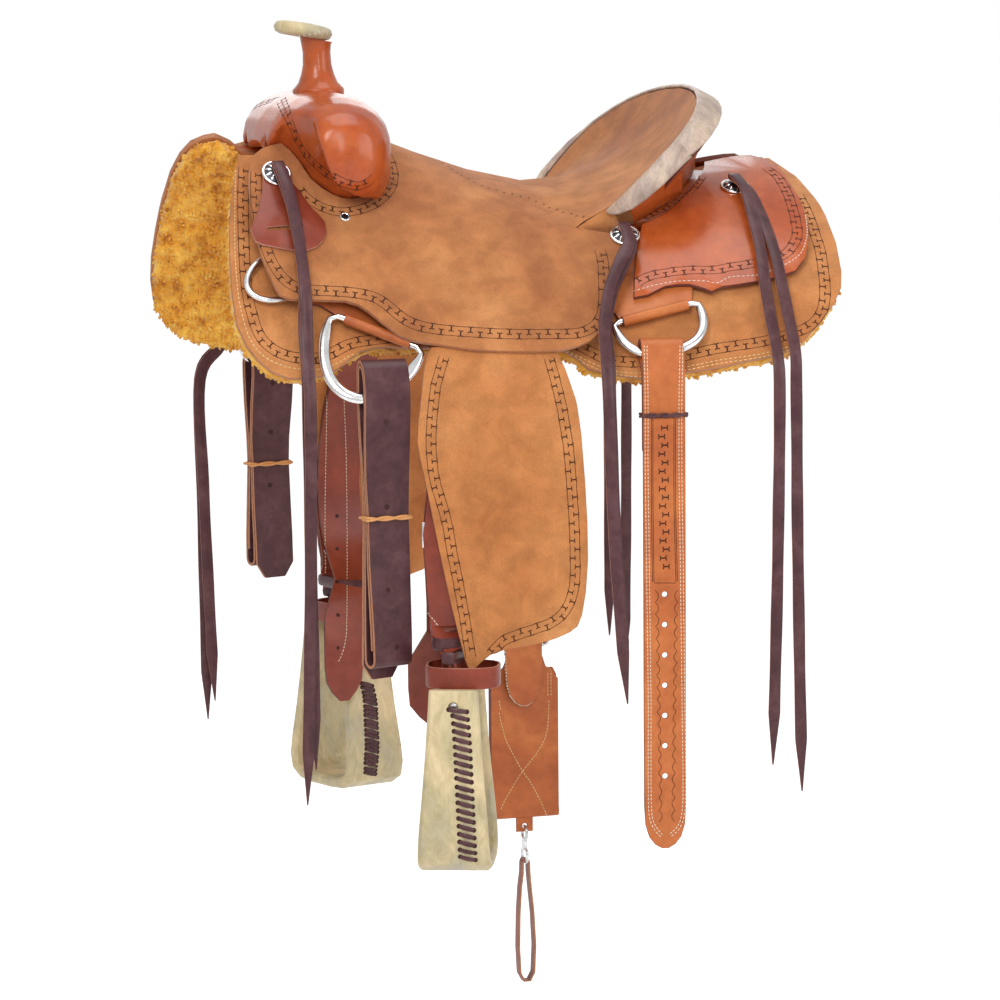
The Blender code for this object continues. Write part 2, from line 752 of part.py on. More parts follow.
def make_seat(look_of):
    finish(seat_layer(0.0, SEAT_THICK), "seat", look_of["roughout"])


def binding_depth(q):
    """How far the binding reaches behind the dish: broad in the middle, narrow at the tips."""
    return BINDING_TIP + (BINDING_MIDDLE - BINDING_TIP) * (1 - abs(q) ** 4)


def board_depth(q):
    """The depth of the back of the cantle board under the dish."""
    return binding_depth(q) - 4.5 * MM


def cantle_foot(q, lift):
    """The foot of the cantle's back, on the bars."""
    across = 0.148 * sin(q * pi / 2)
    x = 0.190 - 0.107 * abs(across / 0.145) ** 2.6
    return over_ridge(x, across, bar_top(x) + lift)


def cantle_back_point(q, t, out):
    """The back of the cantle, from its rim at t 0 to its foot at t 1, moved outwards by out."""

    def spot(q, t):
        up = below_rim(q, BOARD_DROP)
        top = dish(up, q) - dish_out(up, q) * board_depth(q)
        hollow = sin(pi * t) * 0.010 * (1 - abs(q)) * Vector((-1, 0, 0))
        return top.lerp(cantle_foot(q, 0.8 * MM), t) + hollow

    here = spot(q, t)
    if out == 0:
        return here
    down = spot(q, t + 0.02) - spot(q, t - 0.02)
    over = spot(q + 0.02, t) - spot(q - 0.02, t)
    return here + down.cross(over).normalized() * out


CANTLE_REACH = 0.80
CANTLE_STATIONS = [CANTLE_REACH * k / 7 for k in range(-7, 8)]


def make_cantle(look_of):
    rings = []
    for q in CANTLE_STATIONS:
        ups = [0.5, 0.60, 0.70, 0.80, below_rim(q, BOARD_DROP)]
        front = [dish(up, q) - dish_out(up, q) * (SEAT_THICK + BOARD_GAP) for up in ups]
        back = [cantle_back_point(q, t, 0.0) for t in (0.0, 0.35, 0.7, 1.0)]
        rings.append(front + back)
    board = skin(rings)
    board = both_sides(lambda: over_bars(0.4 * MM), board)
    finish(board, "tree_cantle", look_of["wood"])

    rings = []
    for q in CANTLE_STATIONS[1:-1]:
        inner = [cantle_back_point(q, t, 1.0 * MM) for t in (0.02, 0.35, 0.7, 0.97)]
        outer = [cantle_back_point(q, t, 3.6 * MM) for t in (0.97, 0.7, 0.35, 0.02)]
        rings.append(inner + outer)
    finish(skin(rings), "cantle_back", look_of["smooth"])

    rings = []
    count = 31
    for k in range(count):
        q = BINDING_REACH * sin(pi / 2 * (2 * k / (count - 1) - 1))
        rim = rim_point(q)
        up, out = rim_rise(q).normalized(), dish_out(0.995, q)
        deep = BINDING_TIP / MM + (binding_depth(q) - BINDING_TIP) / MM * (1 - 0.8 * blend((abs(q) - 0.62) / 0.26))
        lip = blend((deep - 8.0) / 3.0)
        section = (
            (-0.3, 0.4), (1.6, 0.9), (3.6, -0.6), (4.6, -deep * 0.35), (4.6, -deep * 0.75), (2.8, -deep - 0.6),
            (-0.3 - 2.3 * lip, -deep), (-0.35 - 2.85 * lip, -deep + 1.0 + lip), (-0.3, -deep + 2.0 + 1.4 * lip),
        )
        rings.append([rim + up * (u * MM) + out * (v * MM) for u, v in section])
    binding = boolean(skin(rings), seat_layer(-0.4 * MM, SEAT_THICK + 0.4 * MM))
    finish(binding, "cantle_binding", look_of["rawhide"], angle=60)


# Jockeys, skirts and their lining

SKIRT_OUTLINE = (
    (-0.320, 0.045), (-0.338, 0.108), (-0.350, 0.182), (-0.352, 0.255), (-0.334, 0.293), (-0.303, 0.309),
    (-0.261, 0.298), (-0.240, 0.281), (-0.210, 0.264), (-0.172, 0.262), (-0.100, 0.265), (-0.021, 0.269),
    (0.002, 0.289), (0.052, 0.308), (0.114, 0.317), (0.176, 0.325), (0.222, 0.322), (0.268, 0.280),
    (0.286, 0.241), (0.295, 0.154), (0.291, 0.080), (0.280, 0.006), (0.150, 0.010), (0.000, 0.018),
    (-0.200, 0.033),
)
OFF_SKIRT_OUTLINE = (
    (-0.330, 0.018), (-0.354, 0.033), (-0.370, 0.080), (-0.377, 0.161), (-0.376, 0.229), (-0.361, 0.274),
    (-0.322, 0.296),
) + SKIRT_OUTLINE[6:-1] + ((-0.200, 0.037), (-0.299, 0.037), (-0.312, 0.026))
REAR_JOCKEY_OUTLINE = (
    (0.090, 0.141), (0.116, 0.133), (0.144, 0.110), (0.170, 0.080), (0.189, 0.050), (0.200, 0.023),
    (0.253, 0.020), (0.269, 0.055),
    (0.270, 0.110), (0.267, 0.163), (0.255, 0.210), (0.232, 0.242), (0.182, 0.243), (0.152, 0.239),
    (0.140, 0.241), (0.134, 0.235), (0.120, 0.225), (0.094, 0.221), (0.061, 0.225), (0.077, 0.170),
)
FRONT_TAB_OUTLINE = (
    (-0.291, 0.079), (-0.305, 0.084), (-0.306, 0.096), (-0.310, 0.112), (-0.321, 0.143), (-0.329, 0.159),
    (-0.326, 0.173), (-0.307, 0.177), (-0.281, 0.178), (-0.261, 0.170), (-0.249, 0.153), (-0.249, 0.139),
    (-0.261, 0.123), (-0.269, 0.105), (-0.277, 0.094), (-0.279, 0.083),
)
TAB_SLOT = ((-0.311, 0.1545), (-0.276, 0.1475), (-0.276, 0.1520), (-0.311, 0.1590))


def rear_jockey_under(x, arc):
    """The rear jockey drops from the bars to the skirt, over the rigging."""
    on_bar = bar_top(x) + 0.6 * MM
    low = PLATE_TOP + 0.7 * MM
    return low + max(on_bar - low, 0.0) * (1 - blend((arc - 0.135) / 0.06))


def make_leathers(look_of):
    for side, mirrored in (("left", True), ("right", False)):
        outline = SKIRT_OUTLINE if side == "left" else OFF_SKIRT_OUTLINE
        corners = (0, outline.index((0.280, 0.006)))
        fleece = layer(outline, FLEECE_TOP, 0.0, sharp=corners)
        finish(fleece, "fleece_" + side, look_of["fleece"], mirrored=mirrored)
        skirt = layer(outline, SKIRT_TOP, SKIRT_UNDER, sharp=corners)
        finish(skirt, "skirt_" + side, look_of["roughout"], mirrored=mirrored)
        jockey = layer(
            REAR_JOCKEY_OUTLINE, lambda x, a: rear_jockey_under(x, a) + JOCKEY_THICK, rear_jockey_under,
            sharp=(0, 5, 14),
        )
        finish(jockey, "rear_jockey_" + side, look_of["smooth"], mirrored=mirrored)
        tab = layer(FRONT_TAB_OUTLINE, TAB_TOP, TAB_UNDER)
        tab = boolean(tab, layer(TAB_SLOT, TAB_TOP + 0.01, TAB_UNDER - 0.01, sharp=range(4)))
        finish(tab, "front_tab_" + side, look_of["tab"], mirrored=mirrored)


# Dees and the rigging that carries them

class Dee:
    """A rigging dee on the skirt: a straight bar in a leather sleeve, and a bow below it."""

    def __init__(self, start, end, low, lifts, depth, limb, bar_radius, power=2.0):
        a = over_back(*start, lifts[0])
        b = over_back(*end, lifts[0])
        self.centre = (a + b) / 2
        self.along = (b - a).normalized()
        down = over_back(*low, lifts[1]) - self.centre
        self.down = (down - self.along * down.dot(self.along)).normalized()
        self.out = self.along.cross(self.down)
        if self.out.y < 0:
            self.out.negate()
        self.half = (b - a).length / 2
        self.depth = depth
        self.limb = limb
        self.bar_radius = bar_radius
        self.power = power

    def spot(self, t):
        """The bow's middle line, t from 0 at one end of the bar to pi at the other."""
        c, s = cos(t), sin(t)
        size = (abs(c) ** self.power + abs(s) ** self.power) ** (-1 / self.power)
        return self.centre + self.along * (self.half * size * c) + self.down * (self.depth * size * s)

    def hanger(self, x):
        """Where a strap hangs on the bow at x, with the level directions along the bow and outwards."""
        turns = [pi * k / 720 for k in range(120, 600)]
        t = min(turns, key=lambda t: abs(self.spot(t).x - x))
        tangent = self.spot(t - 0.2) - self.spot(t + 0.2)
        along = Vector((abs(tangent.x), tangent.y if tangent.x > 0 else -tangent.y, 0)).normalized()
        return self.spot(t), along, Vector((-along.y, along.x, 0))

    def wrap(self, point, along, out, half_width, gap, count):
        """A tight bend of strap over the bow, as (out, up) pairs from the outer side to the inner."""
        under = []
        rings = self.rings()
        for ring, after in zip(rings, rings[1:] + rings[:1]):
            for a, b in zip(ring, after):
                for k in range(16):
                    here = a.lerp(b, k / 16) - point
                    if abs(here.dot(along)) <= half_width and here.z < self.depth * 0.45:
                        under.append((here.dot(out), here.z))
        path = []
        for k in range(61):
            c, s = cos(pi * k / 60), sin(pi * k / 60)
            d, z = max(under, key=lambda spot: spot[0] * c + spot[1] * s)
            path.append((d + gap * c, z + gap * s))
        return evenly(path, count)

    def solid(self):
        return skin(self.rings(), closed=True)

    def rings(self):
        spots = [(self.centre + self.along * (self.half * k), 0.0) for k in (-0.84, -0.3, 0.3, 0.84)]
        turns = [0.10, 0.30, 0.58, 0.90, 1.23, pi / 2]
        turns = turns + [pi - t for t in turns[-2::-1]]
        spots += [(self.spot(t), blend(sin(t) * 3)) for t in turns]
        rings = []
        count = len(spots)
        for k in range(count):
            here, on_bow = spots[k]
            tangent = (spots[(k + 1) % count][0] - spots[k - 1][0]).normalized()
            inward = self.out.cross(tangent)
            wide = self.bar_radius + (self.limb[0] / 2 - self.bar_radius) * on_bow
            thick = self.bar_radius + (self.limb[1] / 2 - self.bar_radius) * on_bow
            rings.append([
                here + inward * (wide * cos(q)) + self.out * (thick * sin(q))
                for q in (pi / 8 + 2 * pi * j / 8 for j in range(8))
            ])
        return rings

    def sleeve(self, radius, half):
        return rod(self.centre - self.along * half, self.centre + self.along * half, radius, 10)


FRONT_DEE = Dee(
    (-0.253, 0.236), (-0.165, 0.267), (-0.218, 0.322), (29.8 * MM, 34.5 * MM), 0.078, (12 * MM, 7.0 * MM), 3.3 * MM
)
REAR_DEE = Dee(
    (0.031, 0.251), (0.123, 0.248), (0.077, 0.300), (30.8 * MM, 39.0 * MM), 0.051, (10 * MM, 7.0 * MM), 3.4 * MM, 2.6
)
BREAST_DEE = Dee(
    (-0.312, 0.178), (-0.288, 0.218), (-0.334, 0.222), (28.8 * MM, 27.6 * MM), 0.040, (6.8 * MM, 6.0 * MM), 2.8 * MM
)
FRONT_RIGGING_OUTLINE = (
    (-0.309, 0.184), (-0.300, 0.170), (-0.262, 0.154), (-0.190, 0.152), (-0.158, 0.165), (-0.153, 0.215),
    (-0.158, 0.262), (-0.173, 0.2635), (-0.243, 0.2385), (-0.262, 0.226), (-0.282, 0.224), (-0.291, 0.214),
)
REAR_RIGGING_OUTLINE = (
    (0.036, 0.165), (0.080, 0.156), (0.124, 0.162), (0.130, 0.200), (0.118, 0.2475), (0.042, 0.2505), (0.030, 0.205),
)


def sleeved(plate, dee, radius, bore, half):
    """A rigging plate with its sleeve round the bar of a dee."""
    plate = boolean(plate, dee.sleeve(radius, half), "UNION")
    return boolean(plate, dee.sleeve(bore, half + 0.02))


def make_rigging(look_of):
    for side, mirrored in (("left", True), ("right", False)):
        front = layer(FRONT_RIGGING_OUTLINE, PLATE_TOP, SKIRT_TOP + 0.5 * MM, sharp=(0, 7, 8, 11))
        front = sleeved(front, FRONT_DEE, 5.6 * MM, 3.7 * MM, 0.0360)
        front = sleeved(front, BREAST_DEE, 5.0 * MM, 3.2 * MM, 0.0160)
        finish(front, "front_rigging_" + side, look_of["smooth"], mirrored=mirrored)
        rear = layer(REAR_RIGGING_OUTLINE, PLATE_TOP, SKIRT_TOP + 0.5 * MM, sharp=(4, 5))
        rear = sleeved(rear, REAR_DEE, 5.7 * MM, 3.8 * MM, 0.0360)
        finish(rear, "rear_rigging_" + side, look_of["smooth"], mirrored=mirrored)
        for name, dee in (("front_dee_", FRONT_DEE), ("rear_dee_", REAR_DEE), ("breast_dee_", BREAST_DEE)):
            pivot = hinge("hinge_" + name + side, dee.centre, mirrored)
            finish(dee.solid(), name + side, look_of["steel"], pivot, mirrored, angle=60)


# Straps that hang from the dees

def hanging(point, along, out, path, width):
    """Stations of a strap from (out, height, width share, turn) rows, relative to a hinge."""
    stations = []
    for row in path:
        d, z = row[0], row[1]
        share = row[2] if len(row) > 2 else 1.0
        turn = radians(row[3]) if len(row) > 3 else 0.0
        spin = Matrix.Rotation(turn, 3, "Z")
        stations.append((point + spin @ (out * d) + Vector((0, 0, z)), spin @ along, width * share))
    return stations


def arc_over(radius, height, count=7, centre=0.0, up=1):
    """A half turn from +radius to -radius, over or under a point."""
    turns = [pi * k / (count - 1) for k in range(count)]
    return [(centre + radius * cos(t), height + up * radius * sin(t)) for t in turns]


def latigo_path(bends, length, waist, turn):
    """Two turns of strap, drawn in at the rubber band and open in the bends."""
    tight = (2.1 * MM, 6.1 * MM)
    loose = (5.5 * MM, 9.6 * MM)
    levels = (-0.014, -0.045, -0.085, -waist, -waist - 0.05, -length + 0.035)

    def at(d, z):
        share = 1.0 - 0.06 * (1 - min(abs(z + waist) / 0.06, 1.0))
        return (d, z, share, turn * blend((-z - 0.02) / (length - 0.02)))

    def run(slot, sign):
        start = bends[slot][0][0] if sign > 0 else bends[slot][-1][0]
        rows = []
        for z in levels:
            d = start + (sign * tight[slot] - start) * blend((-z - 0.006) / 0.085)
            d += sign * (loose[slot] - tight[slot]) * blend((-z - waist - 0.02) / (length - waist - 0.055))
            rows.append(at(d, z))
        return rows

    path = [at(loose[0], -length + 0.022)] + run(0, 1)[::-1]
    path += [at(d, z) for d, z in bends[0]]
    path += run(0, -1)
    bend = (loose[1] + loose[0]) / 2
    middle = (loose[1] - loose[0]) / 2
    path += [at(-d, z) for d, z in arc_over(bend, -length + 0.012, 7, -middle, -0.95)]
    path += run(1, 1)[::-1]
    path += [at(d, z) for d, z in bends[1]]
    path += run(1, -1)
    path.append(at(-loose[1] - 1.0 * MM, -length + 0.006))
    end = at(-loose[1] - 0.6 * MM, -length - 0.010)
    path.append((end[0], end[1], 0.55, end[3]))
    return path


def make_latigos(look_of):
    for side, mirrored, x, length, waist, turn in (
        ("left", True, -0.211, 0.286, 0.125, -20), ("right", False, -0.2325, 0.232, 0.112, 10),
    ):
        point, along, out = FRONT_DEE.hanger(x)
        first = STRAP_THICK / 2 + 2.2 * MM
        bends = [FRONT_DEE.wrap(point, along, out, 25 * MM, first + k * 4.5 * MM, 11) for k in (0, 1)]
        pivot = hinge("hinge_latigo_" + side, point, mirrored)
        strap = ribbon(hanging(point, along, out, latigo_path(bends, length, waist, turn), 48 * MM), STRAP_THICK)
        finish(strap, "latigo_" + side, look_of["latigo"], pivot, mirrored)


def billet_path(bend, length, doubled, shift):
    """A billet: looped over the dee, sewn double over the skirt's edge, single and rounded at its end."""
    inner = shift - 2.0 * MM
    outer = shift + 2.0 * MM
    path = [(inner, -doubled), (inner, -doubled + 0.03), (inner, -0.045), (inner - 0.5 * MM, -0.026)]
    path += [(inner - 3.4 * MM, -0.0165), (0.0015, -0.0112), (-0.0036, -0.0080), (bend[-1][0] * 0.85, -0.0030)]
    path += bend[::-1]
    path += [(bend[0][0] + 1.6 * MM, -0.007), (outer + 0.9 * MM, -0.020), (outer + 0.1 * MM, -0.045)]
    for share in (0.25, 0.5, 0.75, 1.0):
        path.append((outer - 2.0 * MM * blend((share - 0.3) / 0.5), -0.045 - share * (length - 0.090)))
    for drop, share in ((0.020, 0.94), (0.033, 0.76), (0.041, 0.48), (0.045, 0.16)):
        path.append((shift, -length + 0.045 - drop, share))
    return path


BILLET_SHIFT = 10.2 * MM


def make_billets(look_of):
    for side, mirrored, x, low in (("left", True, 0.0725, -0.634), ("right", False, 0.080, -0.574)):
        point, along, out = REAR_DEE.hanger(x)
        length = point.z - low
        pivot = hinge("hinge_rear_billet_" + side, point, mirrored)
        bend = REAR_DEE.wrap(point, along, out, 23 * MM, STRAP_THICK / 2 + 2.2 * MM, 9)
        rows = billet_path(bend, length, 0.10, BILLET_SHIFT)
        strap = ribbon(hanging(point, along, out, rows, BILLET_WIDTH), STRAP_THICK)
        holes = [-0.367 - 0.0318 * k - point.z for k in range(7)] if side == "left" else [-length + 0.11, -length + 0.08]
        for z in holes:
            spot = point + out * BILLET_SHIFT + Vector((0, 0, z))
            strap = boolean(strap, rod(spot - out * 0.02, spot + out * 0.02, 3.2 * MM, 6))
        finish(strap, "rear_billet_" + side, look_of["smooth"], pivot, mirrored)


REAR_POINT, REAR_ALONG, REAR_OUT = REAR_DEE.hanger(0.080)
CINCH_BAR = REAR_POINT + REAR_OUT * (BILLET_SHIFT + 0.0115) + Vector((0.003, 0, -0.505 - REAR_POINT.z))
CINCH_DROP = 0.197


def make_cinch(look_of):
    """The flank cinch, folded in two under the buckle on the off billet, with its connector strap."""
    tip = CINCH_BAR - REAR_OUT * 0.023 + Vector((0, 0, 0.036))
    down = (CINCH_BAR - tip).normalized()
    middle = (CINCH_BAR + tip) / 2
    half = (CINCH_BAR - tip).length / 2
    buckle = rod_frame(middle, REAR_ALONG, down, 30 * MM, half, 7 * MM, 2.8 * MM)
    billet_pivot = bpy.data.objects["hinge_rear_billet_right"]
    finish(buckle, "cinch_buckle", look_of["steel"], billet_pivot, angle=60)

    pivot = hinge("hinge_flank_cinch", CINCH_BAR)
    r = 5.4 * MM
    run = 3.3 * MM
    path = [(r, -0.012, 0.5), (r, -0.004, 0.5)] + [(d, z, 0.5) for d, z in arc_over(r, 0.0)]
    path += [(-r, -0.010, 0.5), (-run * 1.2, -0.024, 0.62), (-run, -0.040, 1.0)]
    path += [(-run, -0.12), (-run, -CINCH_DROP + 0.006)]
    path += [(-d, z) for d, z in arc_over(run + 1.5 * MM, -CINCH_DROP, 7, 0.0, -1)]
    path += [(run, -CINCH_DROP + 0.008), (run, -0.12), (run, -0.036), (run, -0.028, 0.9)]
    cinch = ribbon(hanging(CINCH_BAR, REAR_ALONG, REAR_OUT, path, CINCH_WIDTH), CINCH_THICK)
    tab_top = CINCH_BAR + Vector((0, 0, -CINCH_DROP - 0.0040))
    hole = tab_top + Vector((0, 0, -0.0125))
    tab = block(tab_top + Vector((0, 0, -0.0085)), (REAR_ALONG, REAR_OUT, Vector((0, 0, 1))), (0.020, 3.2 * MM, 0.0210))
    cinch = boolean(cinch, tab, "UNION")
    cinch = boolean(cinch, rod(hole - REAR_OUT * 0.01, hole + REAR_OUT * 0.01, 3.4 * MM, 10))
    finish(cinch, "flank_cinch", look_of["smooth"], pivot)

    pivot = hinge("hinge_connector", hole)
    up = Vector((0, 0, 1))
    eye = hole - up * 0.0085
    snap = rod_loop(eye, REAR_OUT, -up, 8.5 * MM, 8.5 * MM, 1.9 * MM, 2.0, 16, 6)
    shank = rod(eye - up * 0.0085, eye - up * 0.0200, 3.2 * MM, 10)
    snap = boolean(snap, shank, "UNION")
    low_eye = eye - up * 0.0265
    snap = boolean(snap, rod_loop(low_eye, REAR_OUT, -up, 9.5 * MM, 7.5 * MM, 1.9 * MM, 5.0, 20, 6), "UNION")
    finish(snap, "cinch_snap", look_of["steel"], pivot, angle=60)

    bar = low_eye - up * 7.5 * MM
    r = 3.7 * MM
    path = arc_over(r, 0.0, 5)
    left = [(-r * 1.1, -0.012), (-0.0065, -0.030), (-0.0085, -0.060), (-0.0095, -0.100), (-0.0080, -0.132)]
    low = [(-0.0030, -0.1415), (0.0040, -0.1415)]
    right = [(0.0090, -0.132), (0.0105, -0.100), (0.0085, -0.060), (0.0055, -0.030), (0.0040, -0.012)]
    loop = path + left + low + right
    stations = [(bar + REAR_ALONG * (d + 0.0) + up * z, REAR_OUT, 12 * MM) for d, z in loop]
    rings = []
    count = len(stations)
    for k in range(count):
        centre, across, width = stations[k]
        tangent = (stations[(k + 1) % count][0] - stations[k - 1][0]).normalized()
        thick = tangent.cross(across).normalized() * (1.3 * MM)
        side = across * (width / 2)
        rings.append([centre - side - thick, centre + side - thick, centre + side + thick, centre - side + thick])
    finish(skin(rings, closed=True), "connector_strap", look_of["tab"], pivot)


# Fenders and stirrups

ALONG_FENDER = Vector((cos(FENDER_TURN), sin(FENDER_TURN), 0))
OUT_OF_FENDER = Vector((-sin(FENDER_TURN), cos(FENDER_TURN), 0))
FENDER_OUTLINE = (
    (-0.0600, -0.1150), (-0.0645, -0.1210), (-0.0700, -0.1350), (-0.0785, -0.1650), (-0.0838, -0.2009), (-0.0760, -0.2421),
    (-0.0644, -0.3042), (-0.0517, -0.3665), (-0.0369, -0.4290), (-0.0325, -0.4410), (-0.0266, -0.4376),
    (-0.0110, -0.4244), (0.0100, -0.4180), (0.0407, -0.4130), (0.0717, -0.4022), (0.0842, -0.3848),
    (0.0908, -0.3278), (0.0882, -0.2450), (0.0805, -0.1626), (0.0690, -0.1250), (0.0610, -0.1160),
)


def under_jockey(w, z, depth):
    """The fender's upper part, on the layers under the side jockey."""
    x = FENDER_ORIGIN.x + w * cos(FENDER_TURN)
    arc = 0.268 - (z + 0.115) * 1.13
    return over_back(x, arc, FENDER_LIFT - depth)


def fender_point(w, z, depth):
    """The fender's middle face: on the jockey's layers above, a hanging plane below."""
    plane = FENDER_ORIGIN + ALONG_FENDER * w - OUT_OF_FENDER * depth + Vector((0, 0, z))
    share = blend((-0.130 - z) / 0.085)
    if share >= 1:
        return plane
    return under_jockey(w, z, depth).lerp(plane, share)


STRAP_LEVELS = (-0.093, -0.11, -0.13, -0.15, -0.17, -0.19, -0.215)


def strap_w(z):
    """Where the stirrup leather's middle line runs behind the fender."""
    return -0.015 - 0.038 * blend((-0.08 - z) / 0.22) + 0.008 * blend((-0.30 - z) / 0.12)


NECK_DEPTH = 7.2 * MM
NECK_SET_IN = 4.0 * MM
BOLT = fender_point(BOLT_W, BOLT_Z, NECK_DEPTH + NECK_SET_IN)
OPENING = Vector((cos(STIRRUP_TURN), sin(STIRRUP_TURN), 0))
LATERAL = Vector((-sin(STIRRUP_TURN), cos(STIRRUP_TURN), 0))


def strap_station(z, depth, width=STRAP_WIDTH):
    w = strap_w(z)
    across = fender_point(w + 0.01, z, depth) - fender_point(w - 0.01, z, depth)
    return fender_point(w, z, depth), across, width


def neck_station(z, sign):
    """Both runs of the leather below the fender, twisted a quarter turn and parted round the bolt."""
    top = -0.385
    turn = -radians(83.5) * blend((top - z) / 0.055)
    spin = Matrix.Rotation(turn, 3, "Z")
    share = (top - z) / (top - BOLT_Z)
    depth = NECK_DEPTH + NECK_SET_IN * blend((-0.355 - z) / 0.045)
    middle = fender_point(strap_w(top), z, depth)
    middle += ALONG_FENDER * ((BOLT_W - strap_w(top)) * share)
    apart = 2.3 * MM + 4.9 * MM * blend((-0.440 - z) / 0.028)
    return middle + spin @ OUT_OF_FENDER * (sign * apart), spin @ ALONG_FENDER, STRAP_WIDTH


def leather_stations(tail_tip, tail_width, pointed, lead):
    """From the tail's tip up over the tree, down behind the fender, round the bolt and up to the buckle."""
    inner = -LATERAL * 0.0588 - OPENING * lead
    stations = []
    for rise, share in ((0.0, 0.22), (0.010, 0.62), (0.022, 0.92 if pointed else 0.95), (0.040, 1.0)):
        stations.append((BOLT + inner + Vector((0, 0, tail_tip + rise - BOLT_Z)), OPENING, tail_width * share))
    stations.append((BOLT + inner + Vector((0, 0, 0.030)), OPENING, tail_width))
    for z, depth, width in ((-0.405, 0.0420, 0.6), (-0.375, 0.0245, 0.3), (-0.345, 0.0165, 0.0)):
        stations.append(strap_station(z, depth, STRAP_WIDTH + (tail_width - STRAP_WIDTH) * width))
    stations.append(strap_station(-0.30, 0.0152))
    stations.append(strap_station(-0.25, 0.0130))
    for z in STRAP_LEVELS[::-1]:
        stations.append(strap_station(z, 0.0102))
    for t in (0.0, pi / 4, pi / 2, 3 * pi / 4, pi):
        stations.append(strap_station(-0.084 + 2.3 * MM * sin(t), 0.0079 + 2.35 * MM * cos(t)))
    for z in STRAP_LEVELS:
        stations.append(strap_station(z, 0.0056))
    stations.append(strap_station(-0.30, 0.0052))
    stations.append(strap_station(-0.37, 0.0049))
    levels = (-0.385, -0.394, -0.403, -0.412, -0.421, -0.430, -0.440, -0.452, -0.462)
    stations += [neck_station(z, 1) for z in levels]
    for t in (0, pi / 6, pi / 3, pi / 2, 2 * pi / 3, 5 * pi / 6, pi):
        spot = BOLT + OPENING * (7.2 * MM * cos(t)) - Vector((0, 0, 7.2 * MM * sin(t)))
        stations.append((spot, -LATERAL, STRAP_WIDTH))
    stations += [neck_station(z, -1) for z in levels[::-1]]
    stations.append(strap_station(-0.35, 0.0095))
    stations.append(strap_station(-0.318, 0.0095))
    return stations


def stirrup_solid():
    """A bell stirrup bent from one board: two legs that widen downwards, and a broad tread."""
    up = Vector((0, 0, 1))
    half = [
        (42.0, 17.0, 50), (42.5, 0.0, 52), (46.5, -40.0, 57), (51.5, -85.0, 64), (57.0, -125.0, 71),
        (58.5, -143.0, 73.5), (54.5, -157.0, 75), (41.0, -164.0, 76), (19.0, -165.5, 77),
    ]
    line = half + [(-a, b, c) for a, b, c in half[::-1]]
    rings = []
    for k, (side, z, deep) in enumerate(line):
        before = line[max(k - 1, 0)]
        after = line[min(k + 1, len(line) - 1)]
        tangent = (LATERAL * (after[0] - before[0]) + up * (after[1] - before[1])).normalized()
        thick = tangent.cross(OPENING)
        centre = BOLT + LATERAL * (side * MM) + up * (z * MM)
        a = deep / 2 * MM
        b = LEG_THICK / 2
        section = ((-a, -b * 0.45), (-a * 0.9, -b), (a * 0.9, -b), (a, -b * 0.45),
                   (a, b * 0.45), (a * 0.9, b), (-a * 0.9, b), (-a, b * 0.45))
        rings.append([centre + OPENING * p + thick * q for p, q in section])
    return skin(rings)


def hobble_stations():
    """The hobble strap: once round the neck and the fender's tip, its pointed end laid over it."""
    middle = BOLT + OPENING * 0.007 + Vector((0, 0, -0.4455 - BOLT_Z))
    stations = []
    count = 22
    for k in range(count + 4):
        t = -2.2 + 2 * pi * k / count
        over = 4.0 * MM * blend((k - count + 3) / 3)
        size = (abs(cos(t)) ** 3 + abs(sin(t)) ** 3) ** (-1 / 3)
        spot = OPENING * ((0.037 + over) * size * cos(t)) + LATERAL * ((0.0300 + over) * size * sin(t))
        tall = 22 * MM if k < count + 2 else 20 * MM if k == count + 2 else 8 * MM
        stations.append((middle + spot, Vector((0, 0, 1)), tall))
    return stations


